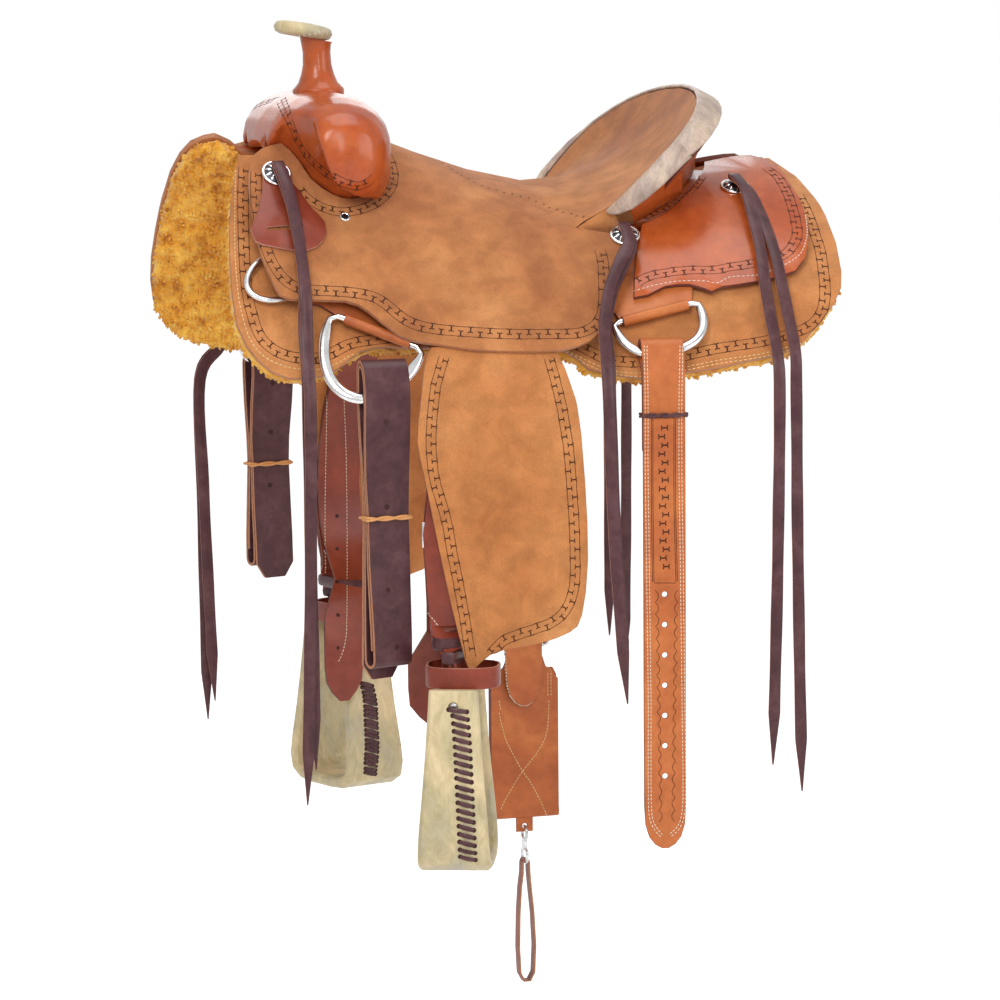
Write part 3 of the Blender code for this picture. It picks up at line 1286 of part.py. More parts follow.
def make_fenders(look_of):
    """Fender, stirrup leather and stirrup. The rear edges swing about the tree bar."""
    point = fender_point(FENDER_PIVOT_W, -0.085, 0.0)
    for side, mirrored, tip, tail, pointed, lead in (
        ("left", True, -0.510, 60 * MM, False, 0.0255), ("right", False, -0.539, 50 * MM, True, 0.040),
    ):
        pivot = hinge("hinge_fender_" + side, point, mirrored)
        bm = bmesh.new()
        bm.faces.new([bm.verts.new((w, z, 0)) for w, z in rounded(FENDER_OUTLINE, sharp=(0, 19))])
        for z in STRAP_LEVELS + (-0.32,):
            slice_pattern(bm, (0, z, 0), (0, 1, 0))
        for w in (-0.04, 0.0, 0.04):
            slice_pattern(bm, (w, 0, 0), (1, 0, 0), lambda c: c.y > -0.215)
        half = FENDER_THICK / 2
        fender = thicken(bm, lambda w, z: fender_point(w, z, -half), lambda w, z: fender_point(w, z, half))
        finish(fender, "fender_" + side, look_of["roughout"], pivot, mirrored)

        strap = ribbon(leather_stations(tip, tail, pointed, lead), STRAP_THICK)
        finish(strap, "stirrup_leather_" + side, look_of["tab"], pivot, mirrored)

        centre = strap_station(-0.300, 0.0095)
        across = centre[1].normalized()
        normal = OUT_OF_FENDER
        up = Vector((0, 0, 1))
        plate = block(centre[0], (across, up, normal), (52 * MM, 26 * MM, 2.4 * MM))
        window = block(centre[0], (across, up, normal), (24 * MM, 9 * MM, 10 * MM))
        finish(boolean(plate, window), "stirrup_buckle_" + side, look_of["steel"], pivot, mirrored)

        hobble = ribbon(hobble_stations(), 3.0 * MM)
        finish(hobble, "hobble_strap_" + side, look_of["tab"], pivot, mirrored)

        bolt_pivot = hinge("hinge_stirrup_" + side, BOLT, mirrored)
        stirrup = stirrup_solid()
        bore = rod(BOLT - LATERAL * 0.08, BOLT + LATERAL * 0.08, BOLT_RADIUS + 0.4 * MM, 12)
        finish(boolean(stirrup, bore), "stirrup_" + side, look_of["rawhide"], bolt_pivot, mirrored)
        reach = 0.0500
        head = (
            (8.0 * MM, -reach - 0.0025), (8.0 * MM, -reach), (BOLT_RADIUS, -reach), (BOLT_RADIUS, reach),
            (8.0 * MM, reach), (8.0 * MM, reach + 0.0025),
        )
        finish(lathe(BOLT, LATERAL, head, 12), "stirrup_bolt_" + side, look_of["steel"], bolt_pivot, mirrored)


# Conchos and saddle strings

CONCHO_RADIUS = 16.0 * MM


def rear_jockey_top(x, arc):
    return rear_jockey_under(x, arc) + JOCKEY_THICK


CONCHOS = {
    "front": (-0.291, 0.088, lambda x, arc: TAB_TOP),
    "middle": (0.066, 0.155, lambda x, arc: SEAT_TOP),
    "rear": (0.208, 0.100, rear_jockey_top),
}


def concho_seat(kind):
    """The middle of a concho's underside, clear of the leather all round, and the way it faces."""
    x, arc, lift = CONCHOS[kind]

    def leather(dx, darc):
        return over_back(x + dx, arc + darc, lift)

    step = CONCHO_RADIUS
    along = leather(step, 0) - leather(-step, 0)
    down = leather(0, step) - leather(0, -step)
    out = down.cross(along).normalized()
    if out.y < 0:
        out.negate()
    base = leather(0, 0)
    around = [leather(step * 1.05 * cos(t), step * 1.05 * sin(t)) for t in (pi * k / 8 for k in range(16))]
    rise = max([(spot - base).dot(out) for spot in around] + [0.0])
    return base + out * (rise + 0.6 * MM), out


def make_conchos(look_of):
    profile = ((16.0, 0.0), (16.0, 1.4), (12.0, 2.4), (6.0, 5.0))
    for kind in CONCHOS:
        for side, mirrored in (("left", True), ("right", False)):
            base, out = concho_seat(kind)
            disc = lathe(base, out, [(r * MM, h * MM) for r, h in profile], 16)
            finish(disc, "concho_" + kind + "_" + side, look_of["silver"], mirrored=mirrored)


def string_stations(kind, over, under, free_over, free_under):
    """A pair of strings in one strip: up the outer tail, folded over the concho, down the inner tail."""
    base, out = concho_seat(kind)
    along = Vector((1, 0, 0))
    down = (out.cross(along)).normalized()
    if down.z > 0:
        down.negate()

    def laid(rows):
        return [over_back(x, arc, lift) for x, arc, lift in rows]

    fold = base + out * 9.2 * MM - down * 0.006
    bend = [fold + out * (2.1 * MM * cos(t)) - down * (2.1 * MM * sin(t)) for t in (0.0, pi / 4, pi / 2, 3 * pi / 4, pi)]
    first = [Vector(p) for p in free_over[::-1]] + laid(over)[::-1]
    last = laid(under) + [Vector(p) for p in free_under]
    route = first + bend + last
    return [(point, along, STRING_WIDTH) for point in route]


STRINGS = {
    "front": dict(
        over=((-0.286, 0.110, 0.0620), (-0.283, 0.139, 0.0570), (-0.282, 0.185, 0.0540), (-0.283, 0.226, 0.0520),
              (-0.284, 0.262, 0.0400), (-0.286, 0.306, 0.0340)),
        under=((-0.287, 0.110, 0.0580), (-0.282, 0.139, 0.0530), (-0.281, 0.185, 0.0500), (-0.283, 0.226, 0.0480),
               (-0.286, 0.262, 0.0360), (-0.287, 0.306, 0.0300)),
        shift={"left": 0.0, "right": -0.025},
        tips={"left": ((-0.295, -0.579), (-0.284, -0.543)), "right": ((-0.308, -0.559), (-0.301, -0.537))},
    ),
    "middle": dict(
        over=((0.061, 0.178, 0.0580), (0.045, 0.200, 0.0560), (0.027, 0.228, 0.0535), (0.015, 0.262, 0.0520),
              (0.012, 0.290, 0.0505), (0.011, 0.306, 0.0495)),
        under=((0.065, 0.178, 0.0540), (0.050, 0.200, 0.0500), (0.031, 0.228, 0.0470), (0.018, 0.262, 0.0460),
               (0.016, 0.290, 0.0450), (0.015, 0.306, 0.0440)),
        shift={"left": 0.0, "right": 0.012},
        tips={"left": ((0.029, -0.479), (0.031, -0.469)), "right": ((0.040, -0.430), (0.046, -0.440))},
    ),
    "rear": dict(
        over=((0.208, 0.125, 0.0480), (0.205, 0.158, 0.0455), (0.199, 0.211, 0.0425), (0.194, 0.250, 0.0390),
              (0.192, 0.290, 0.0330), (0.191, 0.332, 0.0320)),
        under=((0.213, 0.125, 0.0440), (0.216, 0.158, 0.0390), (0.215, 0.211, 0.0370), (0.213, 0.250, 0.0340),
               (0.212, 0.290, 0.0290), (0.211, 0.332, 0.0280)),
        shift={"left": 0.0, "right": 0.0},
        tips={"left": ((0.183, -0.549), (0.217, -0.580)), "right": ((0.190, -0.500), (0.207, -0.536))},
    ),
}


def make_strings(look_of):
    for kind, spec in STRINGS.items():
        for side, mirrored in (("left", True), ("right", False)):
            shift = spec["shift"][side]
            free = []
            for rows, (tip_x, tip_z), out in zip((spec["over"], spec["under"]), spec["tips"][side], (0.006, 0.003)):
                edge = over_back(*rows[-1])
                start = Vector((edge.x + shift, edge.y + out, edge.z - 0.040))
                steps = (0.0, 0.33, 0.66, 1.0)
                free.append([
                    (start.x + (tip_x - start.x) * t**1.5, start.y, start.z + (tip_z - start.z) * t) for t in steps
                ])
            pair = ribbon(string_stations(kind, spec["over"], spec["under"], *free), STRING_THICK)
            finish(pair, "strings_" + kind + "_" + side, look_of["latigo"], mirrored=mirrored)


def main():
    for obj in list(bpy.data.objects):
        bpy.data.objects.remove(obj)
    look_of = looks()
    make_tree(look_of)
    make_horn(look_of)
    make_seat(look_of)
    make_cantle(look_of)
    make_leathers(look_of)
    make_rigging(look_of)
    make_latigos(look_of)
    make_billets(look_of)
    make_cinch(look_of)
    make_fenders(look_of)
    make_conchos(look_of)
    make_strings(look_of)


main()
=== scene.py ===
import bpy
import bmesh
import json
import numpy
import random
from math import cos, sin, pi, radians
from mathutils import Vector, Matrix, noise
from mathutils.bvhtree import BVHTree


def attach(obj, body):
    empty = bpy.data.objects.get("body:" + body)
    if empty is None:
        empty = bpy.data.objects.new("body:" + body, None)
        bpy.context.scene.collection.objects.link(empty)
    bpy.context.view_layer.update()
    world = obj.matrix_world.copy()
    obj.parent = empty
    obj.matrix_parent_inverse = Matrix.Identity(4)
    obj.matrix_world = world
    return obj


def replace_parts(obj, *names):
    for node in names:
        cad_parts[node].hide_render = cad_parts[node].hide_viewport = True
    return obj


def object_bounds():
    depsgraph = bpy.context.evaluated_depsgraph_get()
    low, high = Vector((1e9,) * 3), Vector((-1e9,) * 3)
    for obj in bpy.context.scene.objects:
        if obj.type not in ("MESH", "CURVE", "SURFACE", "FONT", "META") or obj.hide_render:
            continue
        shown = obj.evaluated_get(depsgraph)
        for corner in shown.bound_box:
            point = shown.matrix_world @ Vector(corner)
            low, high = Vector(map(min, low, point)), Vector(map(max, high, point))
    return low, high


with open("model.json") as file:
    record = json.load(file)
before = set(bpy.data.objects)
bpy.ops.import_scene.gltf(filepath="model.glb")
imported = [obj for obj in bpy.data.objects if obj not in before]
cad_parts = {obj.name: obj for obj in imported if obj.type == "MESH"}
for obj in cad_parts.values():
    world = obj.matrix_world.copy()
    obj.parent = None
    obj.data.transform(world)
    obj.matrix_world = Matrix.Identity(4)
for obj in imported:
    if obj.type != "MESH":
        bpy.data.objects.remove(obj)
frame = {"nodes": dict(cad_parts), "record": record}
cad_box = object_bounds()
random.seed(7)
MM = 0.001
SIDES = (("left", -1), ("right", 1))

# Camera, at the photograph's angle
AZIMUTH, ELEVATION, ROLL = radians(-15.5), radians(6.8), radians(-0.5)
DISTANCE = 4.7
PICTURE = 1000  # pixels across
MIDDLE = PICTURE / 2
FOCAL = DISTANCE / (1.08 * MM)  # in pixels, each 1.08 mm in the saddle's middle plane
TARGET = Vector((-0.03465, -0.03283, -0.29297))
BACK = Vector((sin(AZIMUTH) * cos(ELEVATION), -cos(AZIMUTH) * cos(ELEVATION), sin(ELEVATION)))
LEVEL = Vector((cos(AZIMUTH), sin(AZIMUTH), 0))
RIGHT = LEVEL * cos(ROLL) + BACK.cross(LEVEL) * sin(ROLL)
UP = BACK.cross(RIGHT)
EYE = TARGET + BACK * DISTANCE
SENSOR = 36


def link(name, data):
    obj = bpy.data.objects.new(name, data)
    bpy.context.scene.collection.objects.link(obj)
    return obj


camera = link("camera", bpy.data.cameras.new("camera"))
camera.matrix_world = Matrix.Translation(EYE) @ Matrix((RIGHT, UP, BACK)).transposed().to_4x4()
camera.data.sensor_width = SENSOR
camera.data.lens = SENSOR * FOCAL / PICTURE
camera.data.clip_end = 60
bpy.context.scene.camera = camera

def from_bm(name, bm, body, materials, angle=None):
    """A new piece from a bmesh, riding on a body."""
    mesh = bpy.data.meshes.new(name)
    bm.to_mesh(mesh)
    bm.free()
    obj = link(name, mesh)
    for material in materials:
        mesh.materials.append(material)
    mesh.shade_smooth()
    if angle:
        mesh.set_sharp_from_angle(angle=radians(angle))
    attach(obj, body)
    return obj


def body_of(node):
    for name, nodes in frame["record"]["behaviour"]["bodies"].items():
        if node in nodes:
            return name
    raise ValueError(node)


# Materials
def add_node(tree, kind, settings=(), **inputs):
    """A new shader node; i0, i1 and so on name its inputs by number."""
    made = tree.nodes.new("ShaderNode" + kind)
    for key, value in dict(settings).items():
        setattr(made, key, value)
    for key, value in inputs.items():
        socket = made.inputs[int(key[1:]) if key[1:].isdigit() else key]
        if isinstance(value, bpy.types.NodeSocket):
            tree.links.new(value, socket)
        else:
            socket.default_value = value
    return made
class Look:
    """A Principled material with short calls for its nodes."""

    def __init__(self, name, roughness=0.5, metallic=0.0, **inputs):
        self.mat = bpy.data.materials.new(name)
        self.mat.use_nodes = True
        self.tree = self.mat.node_tree
        self.shader = self.tree.nodes["Principled BSDF"]
        self.shader.inputs["Roughness"].default_value = roughness
        self.shader.inputs["Metallic"].default_value = metallic
        for key, value in inputs.items():
            self.shader.inputs[key.replace("_", " ")].default_value = value
        self.coord = self.tree.nodes.new("ShaderNodeTexCoord").outputs["Object"]

    def node(self, kind, settings=(), **inputs):
        return add_node(self.tree, kind, settings, **inputs)

    def noise(self, scale, detail=3.0, rough=0.55, stretch=None, distort=0.0):
        coord = self.coord
        if stretch:
            coord = self.node("Mapping", Vector=coord, Scale=stretch).outputs[0]
        return self.node("TexNoise", Vector=coord, Scale=scale, Detail=detail, Roughness=rough,
                         Distortion=distort).outputs["Fac"]

    def cells(self, scale):
        return self.node("TexVoronoi", Vector=self.coord, Scale=scale).outputs["Distance"]

    def ramp(self, value, *stops):
        made = self.node("ValToRGB", i0=value)
        band = made.color_ramp
        while len(band.elements) < len(stops):
            band.elements.new(0.5)
        for element, (place, colour) in zip(band.elements, stops):
            element.position = place
            element.color = (*colour, 1)
        return made.outputs["Color"]

    def over(self, amount, a, b):
        """The colour a multiplied by b."""
        settings = {"data_type": "RGBA", "blend_type": "MULTIPLY"}
        return self.node("Mix", settings, i0=amount, i6=a, i7=b).outputs[2]

    def colour(self, value):
        self.tree.links.new(value, self.shader.inputs["Base Color"])

    def rough(self, value, low, high):
        made = self.node("MapRange", Value=value, **{"To Min": low, "To Max": high})
        self.tree.links.new(made.outputs[0], self.shader.inputs["Roughness"])

    def bump(self, value, strength, distance, first=None):
        made = self.node("Bump", Strength=strength, Distance=distance, Height=value)
        if first is not None:
            self.tree.links.new(first, made.inputs["Normal"])
        self.tree.links.new(made.outputs[0], self.shader.inputs["Normal"])
        return made.outputs[0]


def roughout(name, base, dark, light):
    """Rough side out leather: short nap, rubbed patches and scratches."""
    look = Look(name, 0.88, Sheen_Weight=0.16, Sheen_Roughness=0.5, Specular_IOR_Level=0.25)
    broad = look.noise(9, 3, 0.6)
    patch = look.noise(38, 4, 0.65, distort=0.4)
    nap = look.noise(900, 4, 0.7)
    fibre = look.noise(260, 3, 0.7, stretch=(1, 1, 0.35))
    tone = look.ramp(broad, (0.30, dark), (0.52, base), (0.75, light))
    worn = look.ramp(patch, (0.38, (0.80, 0.78, 0.76)), (0.62, (1.12, 1.12, 1.12)))
    tone = look.over(0.75, tone, worn)
    speck = look.ramp(nap, (0.30, (0.80, 0.77, 0.74)), (0.68, (1.14, 1.14, 1.14)))
    look.colour(look.over(0.85, tone, speck))
    look.rough(patch, 0.80, 0.96)
    first = look.bump(nap, 0.45, 0.0006)
    look.bump(fibre, 0.30, 0.0007, first)
    return look.mat


def smooth_leather(name, base, dark, light, low=0.22, high=0.42, coat=0.35, grain=0.16, scale=1.0,
                   shine=0.3):
    """Oiled grain side leather: fine pores, faint creases and uneven polish."""
    look = Look(name, 0.35, Coat_Weight=coat, Coat_Roughness=0.16, Specular_IOR_Level=shine)
    broad = look.noise(14 * scale, 3, 0.6, distort=0.6)
    mottle = look.noise(90 * scale, 4, 0.6)
    pores = look.cells(1500)
    crease = look.noise(420, 3, 0.6, stretch=(1, 1, 1.6), distort=0.8)
    tone = look.ramp(broad, (0.30, dark), (0.50, base), (0.74, light))
    cloud = look.ramp(mottle, (0.30, (0.84, 0.82, 0.80)), (0.66, (1.08, 1.08, 1.08)))
    look.colour(look.over(0.8, tone, cloud))
    look.rough(mottle, low, high)
    first = look.bump(pores, grain, 0.0003)
    look.bump(crease, grain * 0.8, 0.0004, first)
    return look.mat


def cut_edge(name, base, dark):
    """The cut edge of leather, fibres showing in layers."""
    look = Look(name, 0.62, Specular_IOR_Level=0.35)
    fibre = look.noise(700, 4, 0.7, stretch=(0.3, 1.0, 0.3))
    look.colour(look.ramp(fibre, (0.32, dark), (0.62, base)))
    look.bump(fibre, 0.35, 0.0004)
    return look.mat


def metal(name, base, roughness, dull):
    """Plated steel with fine scratches and a duller film here and there."""
    look = Look(name, roughness, 1.0)
    film = look.noise(60, 4, 0.6)
    scratch = look.noise(500, 2, 0.5, stretch=(1, 6, 1))
    look.colour(look.ramp(film, (0.35, dull), (0.65, base)))
    look.rough(film, roughness * 0.7, roughness * 1.6)
    look.bump(scratch, 0.05, 0.0002)
    return look.mat


def thread_look(name, base, dark):
    look = Look(name, 0.7)
    twist = look.noise(1500, 2, 0.6)
    look.colour(look.ramp(twist, (0.35, dark), (0.62, base)))
    look.bump(twist, 0.4, 0.0003)
    return look.mat


def rawhide(name, cream, olive, grey, scale=1.0):
    """Dried rawhide: cream to olive clouds, hair cells and thin scraped streaks."""
    look = Look(name, 0.42, Coat_Weight=0.15, Coat_Roughness=0.35, Subsurface_Weight=0.06,
                Subsurface_Scale=0.003)
    broad = look.noise(16 * scale, 4, 0.6, stretch=(1.0, 1.0, 0.45), distort=0.9)
    vein = look.noise(60 * scale, 4, 0.7, stretch=(1, 1, 0.5), distort=1.6)
    cell = look.cells(900)
    tone = look.ramp(broad, (0.28, grey), (0.46, olive), (0.64, cream))
    streak = look.ramp(vein, (0.33, (0.80, 0.76, 0.68)), (0.60, (1.06, 1.06, 1.06)))
    look.colour(look.over(0.8, tone, streak))
    look.rough(vein, 0.34, 0.56)
    first = look.bump(vein, 0.25, 0.0012)
    look.bump(cell, 0.20, 0.0004, first)
    return look.mat


def wool_look(name):
    look = Look(name, 0.95, Sheen_Weight=0.35, Sheen_Roughness=0.5, Specular_IOR_Level=0.1)
    clump = look.noise(55, 4, 0.65, distort=0.5)
    spot = look.noise(24, 3, 0.6)
    hair = look.noise(900, 3, 0.7)
    tone = look.ramp(clump, (0.28, (0.36, 0.10, 0.008)), (0.44, (0.80, 0.36, 0.030)),
                     (0.66, (0.95, 0.58, 0.10)))
    shade = look.ramp(spot, (0.36, (0.78, 0.66, 0.55)), (0.58, (1.05, 1.05, 1.05)))
    tone = look.over(0.8, tone, shade)
    fine = look.ramp(hair, (0.3, (0.78, 0.74, 0.66)), (0.65, (1.1, 1.1, 1.1)))
    look.colour(look.over(0.8, tone, fine))
    first = look.bump(clump, 0.9, 0.006)
    look.bump(hair, 0.5, 0.001, first)
    return look.mat


ROUGHOUT = roughout("roughout_leather", (0.52, 0.205, 0.066), (0.43, 0.150, 0.045), (0.62, 0.275, 0.100))
SADDLE_SEAT = roughout("seat_leather", (0.46, 0.180, 0.062), (0.36, 0.125, 0.042), (0.58, 0.260, 0.098))
RUSSET = smooth_leather("russet_leather", (0.44, 0.082, 0.016), (0.36, 0.058, 0.012), (0.52, 0.115, 0.024),
                        0.17, 0.30, 0.30)
TAN = smooth_leather("tan_leather", (0.50, 0.135, 0.034), (0.41, 0.100, 0.026), (0.58, 0.185, 0.050),
                     0.30, 0.50, 0.1)
RED_BROWN = smooth_leather("red_brown_leather", (0.235, 0.040, 0.020), (0.185, 0.030, 0.016),
                           (0.30, 0.058, 0.028), 0.26, 0.44, 0.15)
BURGUNDY = smooth_leather("burgundy_latigo", (0.088, 0.034, 0.038), (0.062, 0.024, 0.028),
                          (0.125, 0.056, 0.060), 0.26, 0.48, 0.1, 0.14, 2.5, 0.2)
# Painted shade: the near-black discs laid in punched and lace holes stand in for the shade inside them
DARK = smooth_leather("painted_hole_shade", (0.045, 0.018, 0.016), (0.030, 0.012, 0.011), (0.070, 0.028, 0.024),
                      0.35, 0.55, 0.0, shine=0.15)
# Stamps and tool lines: near-black, partly the pressed leather's own darkening and partly painted shade of the
# impressions
STAMP = smooth_leather("stamped_leather_and_painted_shade", (0.075, 0.022, 0.010), (0.050, 0.014, 0.007), (0.11, 0.034, 0.014),
                       0.45, 0.65, 0.0, shine=0.15)
EDGE_TAN = cut_edge("cut_edge_tan", (0.50, 0.225, 0.115), (0.33, 0.125, 0.062))
EDGE_DARK = cut_edge("cut_edge_dark", (0.20, 0.065, 0.045), (0.11, 0.035, 0.026))
EDGE_PINK = cut_edge("cut_edge_pink", (0.56, 0.27, 0.19), (0.36, 0.14, 0.10))
STEEL = metal("nickel_steel", (0.86, 0.87, 0.88), 0.20, (0.60, 0.61, 0.63))
BRIGHT = metal("polished_silver", (0.95, 0.95, 0.94), 0.13, (0.78, 0.78, 0.78))
# Blackened silver of the concho domes; on the screws the same dark is painted shade of the slots
BLACKENED_AND_SLOT_SHADE = metal("blackened_silver_and_slot_shade", (0.10, 0.10, 0.11), 0.35, (0.05, 0.05, 0.06))
THREAD = thread_look("cream_thread", (0.86, 0.80, 0.66), (0.62, 0.54, 0.40))
THREAD_TAN = thread_look("yellow_thread", (0.84, 0.66, 0.32), (0.60, 0.42, 0.18))
CREAM = rawhide("rawhide", (0.70, 0.56, 0.33), (0.50, 0.42, 0.24), (0.40, 0.37, 0.29))
MARBLED = rawhide("rawhide_binding", (0.60, 0.47, 0.36), (0.46, 0.35, 0.29), (0.33, 0.245, 0.215), 2.4)
WOOL = wool_look("woolskin")
RUBBER = thread_look("rubber_band", (0.72, 0.34, 0.12), (0.55, 0.24, 0.08))


def line_of_sight(x, y):
    """The direction from the camera through a pixel of the photograph."""
    return (RIGHT * (x - MIDDLE) + UP * (MIDDLE - y) - BACK * FOCAL).normalized()


# Surfaces of the frame
class Skin:
    """The surface of some nodes, to lay small pieces on."""

    def __init__(self, *names):
        verts, faces = [], []
        for name in names:
            obj = frame["nodes"][name]
            start = len(verts)
            verts += [obj.matrix_world @ v.co for v in obj.data.vertices]
            faces += [[start + i for i in p.vertices] for p in obj.data.polygons]
        self.verts = verts
        self.tree = BVHTree.FromPolygons(verts, faces)

    @classmethod
    def of(cls, obj):
        """The surface of a new piece, its modifiers applied."""
        made = cls()
        mesh = obj.evaluated_get(bpy.context.evaluated_depsgraph_get()).to_mesh()
        made.verts = [obj.matrix_world @ v.co for v in mesh.vertices]
        made.tree = BVHTree.FromPolygons(made.verts, [list(p.vertices) for p in mesh.polygons])
        return made

    def seen(self, x, y):
        return self.tree.ray_cast(EYE, line_of_sight(x, y))[:2]

    def near(self, point):
        return self.tree.find_nearest(point)[:2]


SKINS = {}


def skin(*names):
    if names not in SKINS:
        SKINS[names] = Skin(*names)
    return SKINS[names]


def spline(points, per):
    """A smooth line through the points, each a tuple or Vector, with per steps between two."""
    points = [Vector(p) for p in points]
    out = []
    for i, (b, c) in enumerate(zip(points, points[1:])):
        a, d = points[max(i - 1, 0)], points[min(i + 2, len(points) - 1)]
        for k in range(per):
            t = k / per
            out.append(0.5 * (2 * b + (c - a) * t + (2 * a - 5 * b + 4 * c - d) * t**2
                              + (3 * b - a - 3 * c + d) * t**3))
    return out + [points[-1]]


def even(points, step):
    """The same line with even steps."""
    out = [points[0].copy()]
    left = step
    for a, b in zip(points, points[1:]):
        span = (b - a).length
        while left <= span and span > 0:
            out.append(a.lerp(b, left / span))
            left += step
        left -= span
    return out


def laid(points, surface):
    """Points moved onto a surface, each with its direction outwards, evened out along the line."""
    out = [surface.near(p) for p in points]
    for _ in range(2):
        normals = [n for _, n in out]
        out = [
            (p, (normals[max(i - 1, 0)] + normals[i] + normals[min(i + 1, len(out) - 1)]).normalized())
            for i, (p, _) in enumerate(out)
        ]
    return out


JUMP = 40 * MM  # a longer step between two hits lies across a gap


def traced(surface, pixels):
    """A line of the photograph laid on a surface, in steps of 1 mm."""
    hits = []
    for p in spline([(x, y, 0) for x, y in pixels], 10):
        spot = surface.seen(p.x, p.y)[0]
        if spot is not None and (not hits or (spot - hits[-1]).length < JUMP):
            hits.append(spot)
    return laid(even(hits, MM), surface)


def mirrored(line, surface):
    return laid([Vector((p.x, -p.y, p.z)) for p, _ in line], surface)


def heading(points, i, reach=1):
    """The direction of a line of points at its point i."""
    return (points[min(i + reach, len(points) - 1)] - points[max(i - reach, 0)]).normalized()


def shifted(line, surface, amount):
    """The line moved sideways by an amount in mm, still on the surface."""
    if not amount:
        return line
    spots = [p for p, _ in line]
    return laid([p + heading(spots, i, 2).cross(n) * (amount * MM) for i, (p, n) in enumerate(line)], surface)


def oval(centre, a, b, wide, thick, count):
    """A ring of points round a centre, in the plane of two directions."""
    turns = [2 * pi * k / count for k in range(count)]
    return [centre + a * (wide * cos(turn)) + b * (thick * sin(turn)) for turn in turns]


class Batch:
    """Many small closed pieces gathered in one mesh."""

    def __init__(self, name, body, material):
        self.name, self.body, self.material = name, body, material
        self.bm = bmesh.new()

    def add(self, verts, faces):
        made = [self.bm.verts.new(v) for v in verts]
        for face in faces:
            self.bm.faces.new([made[i] for i in face])

    def tube(self, rings, closed=False):
        """Skins rings of points, with caps."""
        made = [[self.bm.verts.new(p) for p in ring] for ring in rings]
        count = len(made[0])
        pairs = list(zip(made, made[1:])) + ([(made[-1], made[0])] if closed else [])
        for a, b in pairs:
            for k in range(count):
                self.bm.faces.new((a[k], a[(k + 1) % count], b[(k + 1) % count], b[k]))
        if not closed:
            self.bm.faces.new(made[0][::-1])
            self.bm.faces.new(made[-1])

    def done(self, angle=50):
        bmesh.ops.recalc_face_normals(self.bm, faces=self.bm.faces)
        return from_bm(self.name, self.bm, self.body, [self.material], angle)


BATCHES = {}


def batch(kind, body, material):
    key = (kind, body)
    if key not in BATCHES:
        BATCHES[key] = Batch(kind + "_" + body, body, material)
    return BATCHES[key]


# One thread: place along it in lengths, radius in radii and rise in mm
THREAD_PROFILE = ((-0.5, 0.35, -0.15), (-0.34, 0.9, 0.1), (0.0, 1.0, 0.1), (0.34, 0.9, 0.1), (0.5, 0.35, -0.15))


def stitches(line, into, pitch, length, radius):
    """A sewn row: one short thread after another, measured in mm."""
    spots = [p for p, _ in line]
    every = round(pitch)
    for i in range(every // 2, len(line) - 2, every):
        p, n = line[i]
        way = heading(spots, i, 2)
        side = way.cross(n).normalized()
        rings = []
        for t, r, rise in THREAD_PROFILE:
            mid = p + way * (t * length * MM) + n * (rise * MM)
            rings.append(oval(mid, side, n, radius * r * MM, 0.8 * radius * r * MM, 6))
        into.tube(rings)


TOOL_WIDTH, TOOL_HEIGHT, TOOL_ROOT = 0.42 * MM, 0.14 * MM, 0.3 * MM


def tooled(line, body, kind="tool_lines"):
    """A line cut with a tool: a dark ridge, partly the pressed leather's own colour and partly painted shade of
    the cut.
    """
    line = line[::3] + [line[-1]]
    spots = [p for p, _ in line]
    rings = []
    for i, (p, n) in enumerate(line):
        side = heading(spots, i).cross(n).normalized() * TOOL_WIDTH
        top, low = p + n * TOOL_HEIGHT, p - n * TOOL_ROOT
        rings.append([low - side, top - side * 0.7, top + side * 0.7, low + side])
    batch(kind, body, STAMP).tube(rings)


# Outline of one stamp in mm, along and across the border
BONE = ((-0.8, -2.3), (-2.9, -2.7), (-2.5, -4.0), (0.0, -3.3), (2.5, -4.0), (2.9, -2.7), (0.8, -2.3),
        (0.8, 2.3), (2.9, 2.7), (2.5, 4.0), (0.0, 3.3), (-2.5, 4.0), (-2.9, 2.7), (-0.8, 2.3))
STAMP_HEIGHT, STAMP_ROOT = 0.16 * MM, 0.4 * MM


def stamps(line, surface, body, pitch, swing, size):
    """A border of stamped bars, each in turn nearer one edge and the other, measured in mm; their dark colour
    is partly the pressed leather's own and partly painted shade of the impressions.
    """
    spots = [p for p, _ in line]
    for count, i in enumerate(range(4, len(line) - 3, round(pitch))):
        p, n = line[i]
        way = heading(spots, i, 3)
        side = way.cross(n).normalized()
        mid = p + side * ((swing if count % 2 else -swing) * MM)
        top, low = [], []
        for s, t in BONE:
            spot, normal = surface.near(mid + way * (s * size * MM) + side * (t * size * MM))
            top.append(spot + normal * STAMP_HEIGHT)
            low.append(spot - normal * STAMP_ROOT)
        k = len(BONE)
        faces = [list(range(k)), list(range(2 * k - 1, k - 1, -1))]
        faces += [[j, (j + 1) % k, k + (j + 1) % k, k + j] for j in range(k)]
        batch("stamps", body, STAMP).add(top + low, faces)


def both_sides(node, pixels, other=True):
    """A line of the photograph on a node, and its mirror image on the other side."""
    surface = skin(node)
    line = traced(surface, pixels)
    out = [(surface, body_of(node), line)]
    if other:
        twin = node.replace("_left", "_right")
        out.append((skin(twin), body_of(twin), mirrored(line, skin(twin))[::-1]))
    return out


def border(node, pixels, gap=5.6, pitch=9.6, size=1.0):
    """A stamped border: a row of bars between two tooled lines, each gap mm from its middle."""
    for surface, body, line in both_sides(node, pixels):
        stamps(line, surface, body, pitch, 2.6, size)
        for amount in (gap, -gap):
            tooled(shifted(line, surface, amount), body)


